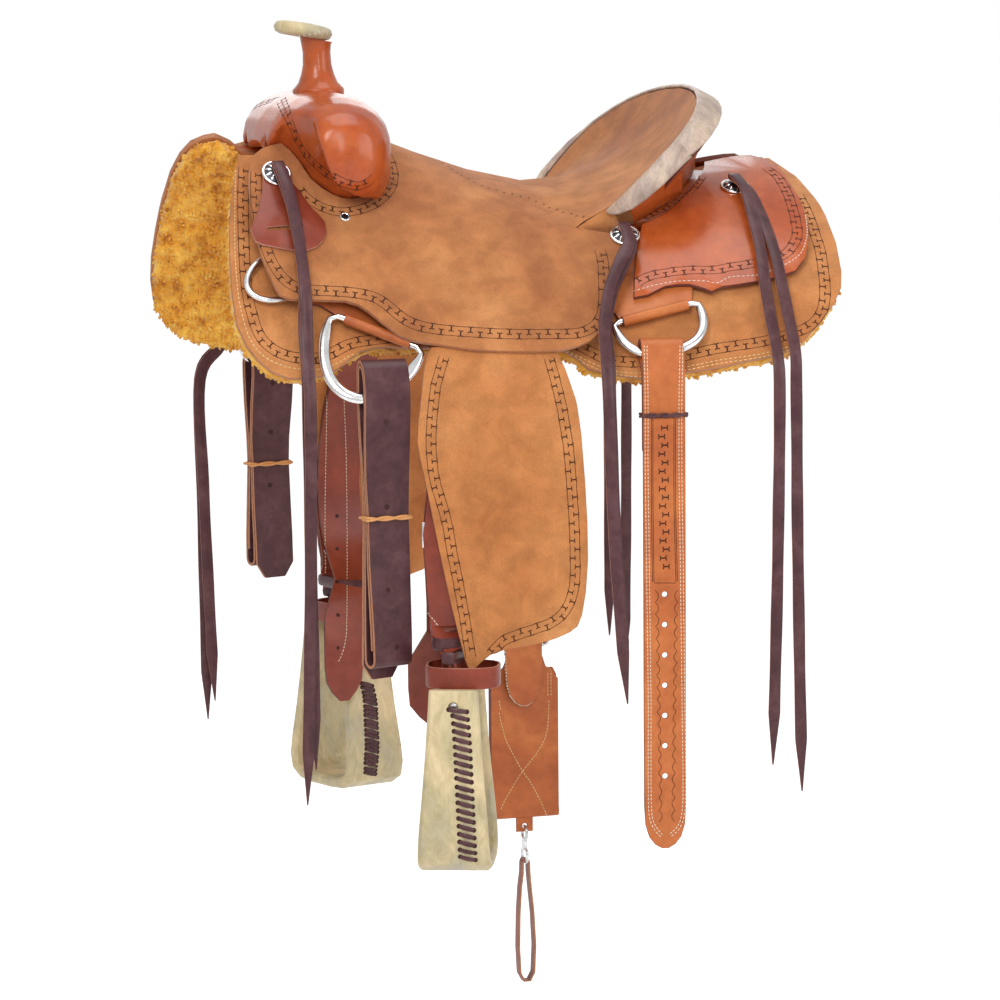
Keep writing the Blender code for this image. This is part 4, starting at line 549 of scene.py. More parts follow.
def sewn(node, pixels, shifts=(0.0,), material=THREAD_TAN, other=True, pitch=5.2, length=3.4, radius=0.48):
    """Sewn rows along a line of the photograph, each shifted sideways in mm."""
    name = "stitches_white" if material is THREAD else "stitches_yellow"
    for surface, body, line in both_sides(node, pixels, other):
        for amount in shifts:
            stitches(shifted(line, surface, amount), batch(name, body, material), pitch, length, radius)


def line_cut(node, pixels, shifts=(0.0,)):
    for surface, body, line in both_sides(node, pixels):
        for amount in shifts:
            tooled(shifted(line, surface, amount), body)


# Leather and metal nodes dressed with their materials
WELD = 0.02 * MM  # corners nearer than this are one


def edge_faces(bm, limit):
    """Faces on the thin sides: looking inwards from them, the far side is beyond limit."""
    tree = BVHTree.FromBMesh(bm)
    found = []
    for face in bm.faces:
        if len(face.verts) < 3 or face.calc_area() < 1e-12:
            continue
        centre = face.calc_center_median()
        hit = tree.ray_cast(centre - face.normal * 0.00005, -face.normal, 1.0)
        if hit[0] is None or hit[3] > limit:
            found.append(face)
    return found


def dressed(node, material, edge=None, limit=9, bevel=0.9, angle=42):
    """A finer piece in a node's place: rounded edges, and its cut edges in their own material."""
    source = frame["nodes"][node]
    bm = bmesh.new()
    bm.from_mesh(source.data)
    bm.transform(source.matrix_world)
    bmesh.ops.remove_doubles(bm, verts=bm.verts, dist=WELD)
    for face in bm.faces:
        face.material_index = 0
    if edge:
        for face in edge_faces(bm, limit * MM):
            face.material_index = 1
    obj = from_bm(node + "_piece", bm, body_of(node), [material, edge] if edge else [material], angle)
    if bevel:
        soft = obj.modifiers.new("soft", "BEVEL")
        soft.width = bevel * MM
        soft.segments = 2
        soft.limit_method = "ANGLE"
        soft.angle_limit = radians(angle)
    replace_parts(obj, node)


for side, sign in SIDES:
    for stem, material, edge, limit in (
        ("skirt_", ROUGHOUT, EDGE_TAN, 9), ("rear_jockey_", RUSSET, EDGE_DARK, 9),
        ("fender_", ROUGHOUT, EDGE_TAN, 8), ("front_tab_", RED_BROWN, EDGE_PINK, 8),
        ("stirrup_leather_", RED_BROWN, EDGE_DARK, 9), ("latigo_", BURGUNDY, EDGE_TAN, 7),
        ("rear_billet_", TAN, EDGE_DARK, 11), ("hobble_strap_", RED_BROWN, EDGE_PINK, 8),
        ("front_rigging_", TAN, EDGE_DARK, 9), ("rear_rigging_", TAN, EDGE_DARK, 9),
    ):
        dressed(stem + side, material, edge, limit)
    dressed("stirrup_buckle_" + side, STEEL, bevel=0.3, angle=50)
    dressed("tree_bar_" + side, RUSSET, bevel=0, angle=50)
dressed("seat", SADDLE_SEAT, EDGE_TAN)


# Each dee's bar: its middle, direction, the bow's direction, half length, depth, limb, radius and squareness
DEES = {
    "front": ((-0.209, 0.19659, -0.09305), (0.86685, 0.35014, -0.35493), (-0.47317, 0.35342, -0.80697),
              0.05076, 0.078, (0.012, 0.007), 0.0033, 2.0),
    "rear": ((0.077, 0.23777, -0.07941), (0.97685, 0.00365, 0.21389), (0.15377, 0.68311, -0.71395),
             0.04709, 0.051, (0.010, 0.007), 0.0034, 2.6),
    "breast": ((-0.3, 0.15279, -0.03544), (0.47226, 0.47721, -0.7411), (-0.88133, 0.27026, -0.38759),
               0.02541, 0.040, (0.0068, 0.006), 0.0028, 2.0),
}
DEE_STEPS = 40


def step_up(t):
    t = max(0.0, min(1.0, t))
    return t * t * (3 - 2 * t)


def dee(kind, side, sign, material):
    """A dee bent from one bar: its bow flattened, its upper bar round in the leather sleeve."""
    centre, along, down, half, depth, limb, bar, square = DEES[kind]
    centre, along, down = Vector(centre), Vector(along), Vector(down)
    out = along.cross(down)
    if out.y < 0:
        out.negate()

    spots = [(centre + along * (half * k), 0.0) for k in (-0.86, -0.5, 0.0, 0.5, 0.86)]
    for k in range(1, DEE_STEPS):
        c, s = cos(pi * k / DEE_STEPS), sin(pi * k / DEE_STEPS)
        size = (abs(c) ** square + abs(s) ** square) ** (-1 / square)
        spots.append((centre + along * (half * size * c) + down * (depth * size * s), step_up(s * 3)))
    rings = []
    for i, (here, on_bow) in enumerate(spots):
        way = (spots[(i + 1) % len(spots)][0] - spots[i - 1][0]).normalized()
        wide = bar + (limb[0] / 2 - bar) * on_bow
        thick = bar + (limb[1] / 2 - bar) * on_bow
        rings.append([q * Vector((1, sign, 1)) for q in oval(here, out.cross(way), out, wide, thick, 20)])
    node = kind + "_dee_" + side
    steel = Batch(kind + "_dee_ring_" + side, body_of(node), material)
    steel.tube(rings, closed=True)
    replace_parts(steel.done(angle=None), node)


for side, sign in SIDES:
    for kind, material in (("front", BRIGHT), ("rear", STEEL), ("breast", STEEL)):
        dee(kind, side, sign, material)


def moulded(name, nodes, material, voxel, smooth, grow=0.0):
    """Wet leather pulled tight over some nodes: one smooth closed skin in their place, in mm."""
    bm = bmesh.new()
    for node in nodes:
        bm.from_mesh(frame["nodes"][node].data)
    bmesh.ops.remove_doubles(bm, verts=bm.verts, dist=WELD)
    mesh = bpy.data.meshes.new(name)
    bm.to_mesh(mesh)
    bm.free()
    obj = link(name, mesh)
    remesh = obj.modifiers.new("remesh", "REMESH")
    remesh.mode = "VOXEL"
    remesh.voxel_size = voxel * MM
    relax = obj.modifiers.new("relax", "SMOOTH")
    relax.iterations = smooth
    relax.factor = 0.5
    done = bpy.data.meshes.new_from_object(obj.evaluated_get(bpy.context.evaluated_depsgraph_get()))
    obj.modifiers.clear()
    obj.data = done
    if grow:
        for v in done.vertices:
            v.co += v.normal * (grow * MM)
    done.materials.clear()
    done.materials.append(material)
    done.shade_smooth()
    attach(obj, "saddle")
    for node in nodes:
        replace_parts(obj, node)
    return obj


swell = moulded("swell_leather", ("swell_cover", "tree_fork"), RUSSET, 2.6, 16, 0.7)
moulded("cantle_gusset", ("tree_cantle",), RUSSET, 3.0, 3)
dressed("cantle_back", RUSSET, EDGE_DARK)
dressed("cantle_binding", MARBLED, angle=60)
dressed("flank_cinch", TAN, EDGE_DARK, 8)
dressed("horn", RUSSET, bevel=0.5, angle=60)
dressed("horn_cap", CREAM, bevel=1.2, angle=60)
dressed("connector_strap", RED_BROWN, EDGE_TAN, 6, bevel=0.4)
dressed("cinch_buckle", STEEL, bevel=0.3, angle=50)
dressed("cinch_snap", STEEL, bevel=0.3, angle=50)


# Saddle strings: each pair is one strip over a concho, its two tails pointed
STRING_LAID = {
    "front": (
        (-286, 213.4, -132.5), (-284, 198.4, -88.7), (-283, 189.5, -50.1), (-282, 167.3, -12.2),
        (-283, 140.5, 29.7), (-286, 124.1, 57.2), (-290.2, 102.7, 78.7), (-290.2, 101.3, 79.4),
        (-290.3, 99.8, 78.9), (-290.4, 99.1, 77.5), (-290.5, 99.6, 76), (-287, 121, 54.8),
        (-282, 137.5, 27.1), (-281, 164.1, -14.6), (-283, 186.1, -52.2), (-286, 194.7, -90.3),
        (-287, 209.7, -134.1),
    ),
    "middle": (
        (11, 283.6, -137.3), (12, 276.9, -119.5), (15, 261.9, -89.8), (27, 238.5, -55.3),
        (45, 218.2, -26.8), (61, 198.3, -8), (64.5, 170.6, 10.6), (64.6, 169, 11), (64.8, 167.7, 10.2),
        (65, 167.3, 8.6), (65, 168.1, 7.3), (65, 195.8, -10.3), (50, 214.1, -30.6), (31, 233.6, -59.1),
        (18, 257, -92.6), (16, 272.5, -121.2), (15, 279.1, -138.7),
    ),
    "rear": (
        (191, 296, -122.5), (192, 270.3, -84.6), (194, 245.7, -47.8), (199, 216.8, -14.6),
        (205, 170.2, 22.6), (208, 139.7, 43.6), (207.3, 107.7, 55.9), (207.3, 106.1, 56),
        (207.4, 105, 54.9), (207.5, 104.9, 53.3), (207.5, 106.1, 52.1), (213, 137.8, 40.8),
        (216, 166.6, 18.8), (215, 213, -16.1), (213, 242.2, -47.2), (212, 267.6, -82.5),
        (211, 293.8, -119.3),
    ),
}
STRING_TIPS = {
    "front": {"left": ((0, -295, -579), (0, -284, -543)), "right": ((-25, -308, -559), (-25, -301, -537))},
    "middle": {"left": ((0, 29, -479), (0, 31, -469)), "right": ((12, 40, -430), (12, 46, -440))},
    "rear": {"left": ((0, 183, -549), (0, 217, -580)), "right": ((0, 190, -500), (0, 207, -536))},
}
STRING_WIDTH, STRING_THICK = 12.5 * MM, 2.7 * MM

def tail(edge, shift, out, tip_x, tip_z):
    """The free part of a string, from the skirt's edge to its tip, in mm."""
    start = Vector((edge.x + shift, edge.y + out, edge.z - 40))
    steps = (0.0, 0.33, 0.66, 1.0)
    return [Vector((start.x + (tip_x - start.x) * t**1.5, start.y, start.z + (tip_z - start.z) * t))
            for t in steps]


# Section of a string, in half widths and half thicknesses; its cut edges are faces 4 and 9
STRING_SECTION = ((-1, -0.55), (-0.86, -1), (0, -0.92), (0.86, -1), (1, -0.55),
                  (1, 0.55), (0.86, 1), (0, 0.9), (-0.86, 1), (-1, 0.55))
STRING_STEP = 5 * MM


def thong(name, route):
    """A flat leather string along its route, from the concho to a pointed, slightly turned tip."""
    line = even(spline(route, 6), STRING_STEP)
    if (line[-1] - route[-1]).length > 0.5 * MM:
        line.append(route[-1].copy())
    length = sum((b - a).length for a, b in zip(line, line[1:]))
    bm = bmesh.new()
    rings = []
    gone = 0.0
    for i, p in enumerate(line):
        if i:
            gone += (p - line[i - 1]).length
        way = heading(line, i)
        across = (Vector((1, 0, 0)) - way * way.x).normalized()
        out = way.cross(across).normalized()
        left = length - gone
        half = STRING_WIDTH / 2 * (min(1.0, 0.10 + left / 0.060) if left < 0.055 else 1.0)
        half *= 1 + 0.03 * sin(gone * 55 + len(name))
        thick = STRING_THICK / 2 * (0.55 if left < 0.004 else 1.0)
        curl = 0.10 * thick * sin(gone * 40)
        rings.append([bm.verts.new(p + across * (half * u) + out * (thick * v + curl))
                      for u, v in STRING_SECTION])
    for a, b in zip(rings, rings[1:]):
        for k in range(10):
            face = bm.faces.new((a[k], a[(k + 1) % 10], b[(k + 1) % 10], b[k]))
            face.material_index = 1 if k in (4, 9) else 0
    bm.faces.new(rings[0][::-1])
    bm.faces.new(rings[-1])
    bmesh.ops.recalc_face_normals(bm, faces=bm.faces)
    return from_bm(name, bm, "saddle", [BURGUNDY, EDGE_PINK], 60), line, length


for kind, laid_part in STRING_LAID.items():
    for side, sign in SIDES:
        points = [Vector(p) for p in laid_part]
        outer, inner = STRING_TIPS[kind][side]
        for label, part, out, (shift, tip_x, tip_z) in (
            ("outer", points[8::-1], 6, outer), ("inner", points[8:], 3, inner),
        ):
            route = part + tail(part[-1], shift, out, tip_x, tip_z)
            if label == "inner":
                route = route[1:]
            route = [Vector((p.x, p.y * sign, p.z)) * MM for p in route]
            obj, line, length = thong("string_" + kind + "_" + label + "_" + side, route)
            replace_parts(obj, "strings_" + kind + "_" + side)


# Stamped borders, tooled lines and sewn rows, along the lines of the photograph
border("seat", [
    (256, 172), (256, 192), (257, 210), (261, 232), (268, 253), (275, 267), (284, 279), (296, 287),
    (312, 290), (330, 291), (347, 292), (362, 294), (376, 298), (388, 306), (400, 316), (414, 324),
    (436, 329), (470, 332), (510, 334), (550, 334), (578, 333), (593, 327), (601, 317), (604, 302),
    (604, 280), (603, 262), (600, 250),
])
border("seat", [
    (385, 150), (390, 162), (393, 174), (391, 186), (384, 196), (372, 205), (358, 210), (344, 212),
    (330, 210), (316, 204), (305, 196), (298, 188),
])
SEAT_UPPER = [
    (392, 143), (404, 147), (424, 154), (443, 163), (461, 175), (478, 184), (495, 190), (511, 194),
    (531, 199), (551, 208), (567, 213), (582, 217), (597, 221),
]
for surface, body, line in both_sides("seat", SEAT_UPPER):
    stamps(line, surface, body, 8.6, 0.8, 0.42)
SKINS[("swell_cover",)] = Skin.of(swell)
border("swell_cover", [
    (281, 100), (286, 112), (291, 124), (296, 137), (302, 149), (311, 160), (322, 170), (334, 178),
    (346, 184), (358, 186), (367, 183), (374, 177),
], gap=5.0, pitch=9.0, size=0.9)
border("skirt_left", [
    (244, 168), (243, 200), (244, 250), (247, 290), (252, 314), (259, 334), (270, 347), (285, 355),
    (300, 358), (318, 358), (334, 352), (350, 344), (372, 340), (392, 338), (404, 341),
])
border("skirt_left", [
    (566, 340), (577, 345), (590, 351), (606, 359), (628, 362), (650, 361), (672, 359), (692, 354),
    (720, 348), (760, 342), (790, 334), (808, 327), (819, 317), (824, 304), (825, 288), (823, 268),
    (820, 250), (815, 234), (808, 214), (798, 194),
])
sewn("skirt_left", [
    (566, 350), (590, 362), (610, 370), (632, 373), (656, 372), (690, 366), (720, 360), (760, 354),
    (795, 345), (816, 337), (829, 325), (835, 308), (836, 288), (834, 266), (830, 246), (824, 228),
    (816, 208), (804, 186),
], shifts=(0.0, 3.8))
sewn("skirt_left", [
    (236, 168), (235, 200), (235, 250), (238, 292), (243, 318), (251, 341), (265, 357), (284, 366),
    (301, 369), (320, 369), (338, 363), (352, 355), (374, 351), (394, 349),
])
border("rear_jockey_left", [
    (637, 283), (647, 277), (664, 273), (690, 270), (714, 270), (730, 267), (750, 264), (768, 259),
    (782, 256), (791, 248), (797, 236), (796, 222), (792, 206), (786, 190), (777, 176), (766, 168),
], gap=5.2, size=0.95)
BAND = [(643, 219), (654, 213), (664, 209), (676, 203), (684, 196), (694, 187), (702, 176)]
band_skin = {side: Skin("tree_bar_" + side, "rear_jockey_" + side) for side, _ in SIDES}
band_line = traced(band_skin["left"], BAND)
for side, line in (("left", band_line), ("right", mirrored(band_line, band_skin["right"]))):
    stamps(line, band_skin[side], "saddle", 9.0, 2.0, 0.85)
    for amount in (4.6, -4.6):
        tooled(shifted(line, band_skin[side], amount), "saddle", "tooling")
sewn("rear_jockey_left", [
    (634, 291), (655, 285), (680, 281), (705, 281), (717, 283), (730, 277), (757, 275), (772, 270),
    (786, 264), (800, 254), (806, 240), (807, 226), (804, 210), (799, 196), (790, 182), (778, 170),
], material=THREAD)
border("fender_left", [
    (444, 357), (440, 371), (436, 385), (434, 400), (432, 420), (431, 442), (432, 460), (434, 476),
    (438, 492), (443, 508), (448, 528), (452, 552), (457, 576), (461, 598), (465, 620), (468, 640),
    (471, 658),
], gap=5.0, pitch=8.8, size=0.85)
border("fender_left", [
    (549, 358), (554, 375), (558, 391), (562, 408), (565, 426), (568, 444), (570, 464), (572, 490),
    (574, 520), (575, 552), (575, 578), (572, 596), (565, 611), (553, 622), (538, 628), (520, 634),
    (505, 640), (496, 648), (489, 657),
], gap=5.0, pitch=8.8, size=0.85)

# Rear billets: two sewn rows a side, a panel of stamps and scalloped lines
for row, sign in (
    ([(647, 345), (648, 400), (648, 470), (649, 540), (650, 620), (651, 700), (651, 780), (652, 815),
      (657, 828), (664, 836)], 1),
    ([(680, 345), (679, 400), (679, 470), (680, 540), (681, 620), (682, 700), (683, 780), (682, 812),
      (677, 827), (667, 836)], -1),
):
    sewn("rear_billet_left", row, (0.0, sign * 3.0), THREAD, pitch=4.2, length=2.9, radius=0.42)
line_cut("rear_billet_left", [(653, 418), (653, 500), (654, 582)], (0.0, 1.6))
line_cut("rear_billet_left", [(674, 418), (674, 500), (676, 582)], (0.0, -1.6))
line_cut("rear_billet_left", [(653, 418), (664, 418), (674, 418)])
line_cut("rear_billet_left", [(654, 583), (665, 583), (676, 583)])
for surface, body, line in both_sides("rear_billet_left", [(663, 424), (664, 500), (665, 578)]):
    stamps(line, surface, body, 9.4, 1.6, 1.0)
SCALLOPS, SCALLOP_DEPTH = 19, 3.4  # in each row, and in pixels
for x0, x1, sign in ((658, 662, 1), (675, 672, -1)):
    wave = []
    for k in range(SCALLOPS * 6 + 1):
        t = k / (SCALLOPS * 6)
        bow = abs(sin(pi * SCALLOPS * t)) * SCALLOP_DEPTH
        wave.append((x0 + (x1 - x0) * t + sign * (bow - 3.0), 590 + 232 * t))
    line_cut("rear_billet_left", wave)

# Flank cinch: double seams along its sides, the crossed rows and the seam of the end
for row, gaps in (
    ([(499, 712), (501, 722), (506, 740), (514, 756), (522, 770), (532, 785), (541, 802), (547, 816)], (0.0,)),
    ([(549, 700), (548, 722), (545, 738), (536, 754), (522, 772), (512, 788), (504, 802), (500, 812)], (0.0,)),
    ([(551, 648), (551, 672), (551, 696)], (0.0, 4.0)),
    ([(499, 700), (500, 706), (501, 712)], (0.0,)),
):
    sewn("flank_cinch", row, gaps, other=False, pitch=4.4, length=3.0, radius=0.5)

# Stirrup leathers: two rows that meet in a V on the off one's inner face, and one on the near one
for node, row in (
    ("right", [(327, 395), (326, 450), (325, 520), (326, 600), (328, 636), (333, 655), (337, 664)]),
    ("right", [(344, 400), (346, 450), (347, 520), (347, 600), (346, 636), (342, 654), (337, 664)]),
    ("left", [(421, 565), (420, 590), (423, 606), (432, 618), (440, 628)]),
):
    sewn("stirrup_leather_" + node, row, material=THREAD, other=False, pitch=4.4, length=3.0)


# Hardware seen close
def frame_of(node):
    """A node's middle, and its axes from the least to the greatest spread."""
    points = numpy.array([tuple(v) for v in skin(node).verts])
    middle = points.mean(axis=0)
    vectors = numpy.linalg.eigh(numpy.cov((points - middle).T))[1]
    return Vector(middle), [Vector(vectors[:, k]).normalized() for k in range(3)]


def turned(into, centre, axis, profile, steps=36):
    """A round piece from a profile of (radius, height) in mm."""
    across = axis.orthogonal().normalized()
    other = axis.cross(across)
    into.tube([oval(centre + axis * (h * MM), across, other, r * MM, r * MM, steps) for r, h in profile])


CONCHO_RIM = ((15.2, 0.1), (16.0, 0.3), (16.0, 1.2), (15.4, 1.9), (14.2, 2.2), (13.2, 1.9), (12.6, 1.2))
CONCHO_DOME = ((13.4, 0.3), (13.2, 1.5), (11.6, 2.4), (9.0, 3.5), (6.4, 4.5), (3.0, 4.9), (0.6, 5.0))
PETALS = 10
PETAL = ((5.6, 4.3, 0.5), (8.4, 4.0, 1.5), (11.2, 2.9, 1.1), (12.8, 1.9, 0.3))
for kind in ("front", "middle", "rear"):
    for side, sign in SIDES:
        node = "concho_" + kind + "_" + side
        middle, axes = frame_of(node)
        out = axes[0]
        if out.y * sign < 0:
            out.negate()
        base = middle + out * min((v - middle).dot(out) for v in skin(node).verts)
        silver = Batch("concho_" + kind + "_rim_" + side, "saddle", BRIGHT)
        black = Batch("concho_" + kind + "_dome_" + side, "saddle", BLACKENED_AND_SLOT_SHADE)
        turned(silver, base, out, CONCHO_RIM)
        turned(black, base, out, CONCHO_DOME)
        across = out.orthogonal().normalized()
        for k in range(PETALS):
            angle = 2 * pi * k / PETALS
            way = across * cos(angle) + out.cross(across) * sin(angle)
            flat = way.cross(out)
            rings = []
            for r, h, w in PETAL:
                c = base + way * (r * MM) + out * (h * MM)
                w *= MM
                rings.append([c - flat * w, c - out * 0.8 * MM, c + flat * w, c + out * 0.45 * MM])
            silver.tube(rings)
        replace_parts(silver.done(), node)
        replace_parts(black.done(), node)

# A screw on each side of the seat, under the swell, its slot a dark dome: painted shade of the slot
spot = skin("seat").seen(345, 217)[0]
for place in (spot, Vector((spot.x, -spot.y, spot.z))):
    place, normal = skin("seat").near(place)
    turned(batch("screws", "saddle", BRIGHT), place, normal,
           ((5.6, -0.3), (5.7, 0.6), (5.2, 1.3), (4.2, 1.5), (3.6, 1.0)), 28)
    turned(batch("screw_slot_shade", "saddle", BLACKENED_AND_SLOT_SHADE), place, normal,
           ((3.7, 0.0), (3.6, 1.15), (1.8, 1.5), (0.2, 1.6)), 20)


# Rawhide lacing on the stirrups
def lace(into, start, end, normal, width, height):
    """One short flat lace over a seam, its ends going into their holes, measured in mm."""
    way = (end - start).normalized()
    side = way.cross(normal).normalized()
    rings = []
    for t in (0.0, 0.1, 0.3, 0.5, 0.7, 0.9, 1.0):
        rise = height * (1 - (2 * t - 1) ** 4) - 0.5
        half = width / 2 * (0.75 + 0.25 * (1 - (2 * t - 1) ** 2))
        rings.append(oval(start.lerp(end, t) + normal * (rise * MM), side, normal, half * MM, 0.8 * MM, 8))
    into.tube(rings)


def spaced(line, count):
    """The line's points and directions at the middles of so many equal parts."""
    return [line[round((k + 0.5) * (len(line) - 1) / count)] for k in range(count)]


LACES = 20
for side, sign in SIDES:
    node = "stirrup_" + side
    surface = skin(node)
    laces = Batch("stirrup_laces_" + side, body_of(node), BURGUNDY)
    # Dark discs at the laces' holes: painted shade of the holes
    holes = Batch("stirrup_lace_holes_" + side, body_of(node), DARK)
    for near_node, row in (
        ("stirrup_left", [(459, 706), (462, 740), (464, 780), (466, 820), (468, 862)]),
        ("stirrup_right", [(366, 682), (370, 700), (371, 720), (372, 745), (371, 762), (370, 776)]),
    ):
        line = traced(skin(near_node), row)
        if near_node != node:
            line = mirrored(line, surface)
        way = (line[-1][0] - line[0][0]).normalized()
        for p, n in spaced(line, LACES):
            flat = way.cross(n).normalized()
            if flat.x < 0:
                flat.negate()
            half = flat * 7.5 * MM + way * 2.4 * MM
            a, b = surface.near(p - half)[0], surface.near(p + half)[0]
            lace(laces, a, b, n, 5.0, 1.8)
            for spot in (a, b):
                turned(holes, spot, n, ((2.6, -0.5), (2.6, 0.15), (1.6, 0.3), (0.3, 0.32)), 12)
    dressed(node, CREAM, bevel=1.0, angle=40)
    laces.done()
    holes.done()


# Stirrup bolts, their ends under the rawhide
BOLT_COVER = 9  # mm of each end left out
for side, sign in SIDES:
    node = "stirrup_bolt_" + side
    middle, axes = frame_of(node)
    axis = axes[2]
    offsets = [v - middle for v in skin(node).verts]
    low = min(v.dot(axis) for v in offsets) / MM + BOLT_COVER
    high = max(v.dot(axis) for v in offsets) / MM - BOLT_COVER
    radius = sorted((v - axis * v.dot(axis)).length for v in offsets)[len(offsets) // 4] / MM
    rod = Batch("stirrup_bolt_rod_" + side, body_of(node), STEEL)
    profile = ((radius * 0.8, low), (radius, low + 0.6), (radius, high - 0.6), (radius * 0.8, high))
    turned(rod, middle, axis, profile, 24)
    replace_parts(rod.done(), node)


# Rubber bands round the folded latigos, wraps round the necks of the stirrup leathers
def hull_at(node, z, beyond):
    """The outline of a node's section at a height, as a convex loop."""
    verts = skin(node).verts
    cut = set()
    for edge in frame["nodes"][node].data.edges:
        a, b = verts[edge.vertices[0]], verts[edge.vertices[1]]
        if (a.z - z) * (b.z - z) < 0:
            p = a.lerp(b, (z - a.z) / (b.z - a.z))
            if abs(p.y) > beyond:
                cut.add((round(p.x, 5), round(p.y, 5)))
    hull = []
    for sweep in (sorted(cut), sorted(cut, reverse=True)):
        part = []
        for x, y in sweep:
            while len(part) > 1:
                (ax, ay), (bx, by) = part[-2:]
                if (bx - ax) * (y - ay) - (by - ay) * (x - ax) > 0:
                    break
                part.pop()
            part.append((x, y))
        hull += part[:-1]
    return [Vector((x, y, z)) for x, y in hull]


def wrapped(name, node, z, material, radius, strands=2, slope=0.0, gap=0.6, flat=1.0, turns=0, beyond=0.0):
    """A band wound round a node at a height, of twisted strands, its radius and gap in mm."""
    radius, gap = radius * MM, gap * MM
    hull = hull_at(node, z, beyond)
    centre = sum(hull, Vector()) / len(hull)
    loop = []
    for a, b in zip(hull, hull[1:] + hull[:1]):
        steps = max(1, int((b - a).length / 0.004))
        loop += [a.lerp(b, k / steps) for k in range(steps)]
    bands = Batch(name, body_of(node), material)
    for s in range(strands):
        rings = []
        for i, p in enumerate(loop):
            way = (loop[(i + 1) % len(loop)] - loop[i - 1]).normalized()
            normal = Vector((way.y, -way.x, 0))
            if normal.dot(p - centre) < 0:
                normal.negate()
            mid = p + normal * (gap + radius) + Vector((0, 0, slope * (p.x - centre.x)))
            if strands > 1:
                phase = 2 * pi * (turns / 2 * i / len(loop) + s / strands)
                mid += normal * (radius * 0.6 * cos(phase)) + Vector((0, 0, radius * 0.9 * sin(phase)))
            rings.append(oval(mid, normal, Vector((0, 0, 1)), radius, radius * flat, 8))
        bands.tube(rings, closed=True)
    bands.done()


wrapped("rubber_band_left", "latigo_left", -0.2815, RUBBER, 1.5, turns=6)
wrapped("rubber_band_right", "latigo_right", -0.2720, RUBBER, 1.5, turns=6)
for side, sign in SIDES:
    for k in range(2):
        wrapped("neck_wrap_%d_%s" % (k, side), "stirrup_leather_" + side, -0.4130 - 0.0132 * k, BURGUNDY,
                1.8, 1, slope=-0.06, gap=-0.2, flat=3.5, beyond=0.205)
    wrapped("billet_lace_" + side, "rear_billet_" + side, -0.181, BURGUNDY, 1.5, gap=0.5, turns=8)


# Woolskin: the lining of the skirts, tufted
def woolly(side, sign):
    """The lining as clumped wool: a fine skin pushed out in soft lumps, with loose tufts on it."""
    node = "fleece_" + side
    mesh = moulded(node + "_wool", (node,), WOOL, 4.5, 2).data
    moves = []
    for v in mesh.vertices:
        p = v.co
        lump = noise.noise(p * 62) * 0.55 + noise.noise(p * 130 + Vector((7, 1, 3))) * 0.35
        lump += noise.noise(p * 260) * 0.2
        moves.append(v.normal * ((lump * 2.6 - 0.6) * MM))
    for v, move in zip(mesh.vertices, moves):
        v.co += move
    rng = random.Random(node)
    tufts = Batch(node + "_tufts", "saddle", WOOL)
    for face in mesh.polygons:
        if face.normal.y * sign > 0.35 or rng.random() > 0.34:
            continue
        out = face.normal
        lean = Vector((rng.uniform(-1, 1), rng.uniform(-1, 1), rng.uniform(-1.3, 0.4))) * 0.8
        way = (out + lean - out * lean.dot(out) * 0.5).normalized()
        across = way.orthogonal().normalized()
        p = face.center - out * 1.2 * MM
        reach = rng.uniform(2.4, 4.6) * MM
        wide = rng.uniform(1.6, 2.7) * MM
        bend = Vector((rng.uniform(-1, 1), 0, -1)) * reach * 0.25
        rings = []
        for t, w in ((0.0, 1.0), (0.45, 1.05), (0.85, 0.75), (1.0, 0.3)):
            c = p + way * (reach * t) + bend * t * t
            rings.append(oval(c, across, way.cross(across), wide * w, wide * w, 4))
        tufts.tube(rings)
    tufts.done(angle=None)


for side, sign in SIDES:
    woolly(side, sign)


# Cantle binding's ends: a rawhide tongue on each side, tapering over the seat to its tip
def on_ray(x, y, depth):
    """The point of a pixel's line of sight at a distance from the saddle's middle plane."""
    aim = line_of_sight(x, y)
    return EYE + aim * ((-depth - EYE.y) / aim.y)


# Each step's pixel, half width in pixels and distance in m
TONGUE = (
    (684, 149, 11.5, 0.1775), (672, 160, 11.5, 0.1795), (656, 177, 11.0, 0.1805), (641, 191, 10.2, 0.1775),
    (628, 202, 8.6, 0.1700), (617, 208.5, 6.4, 0.1615), (610, 211, 4.0, 0.1560), (606.5, 211, 1.6, 0.1535),
)
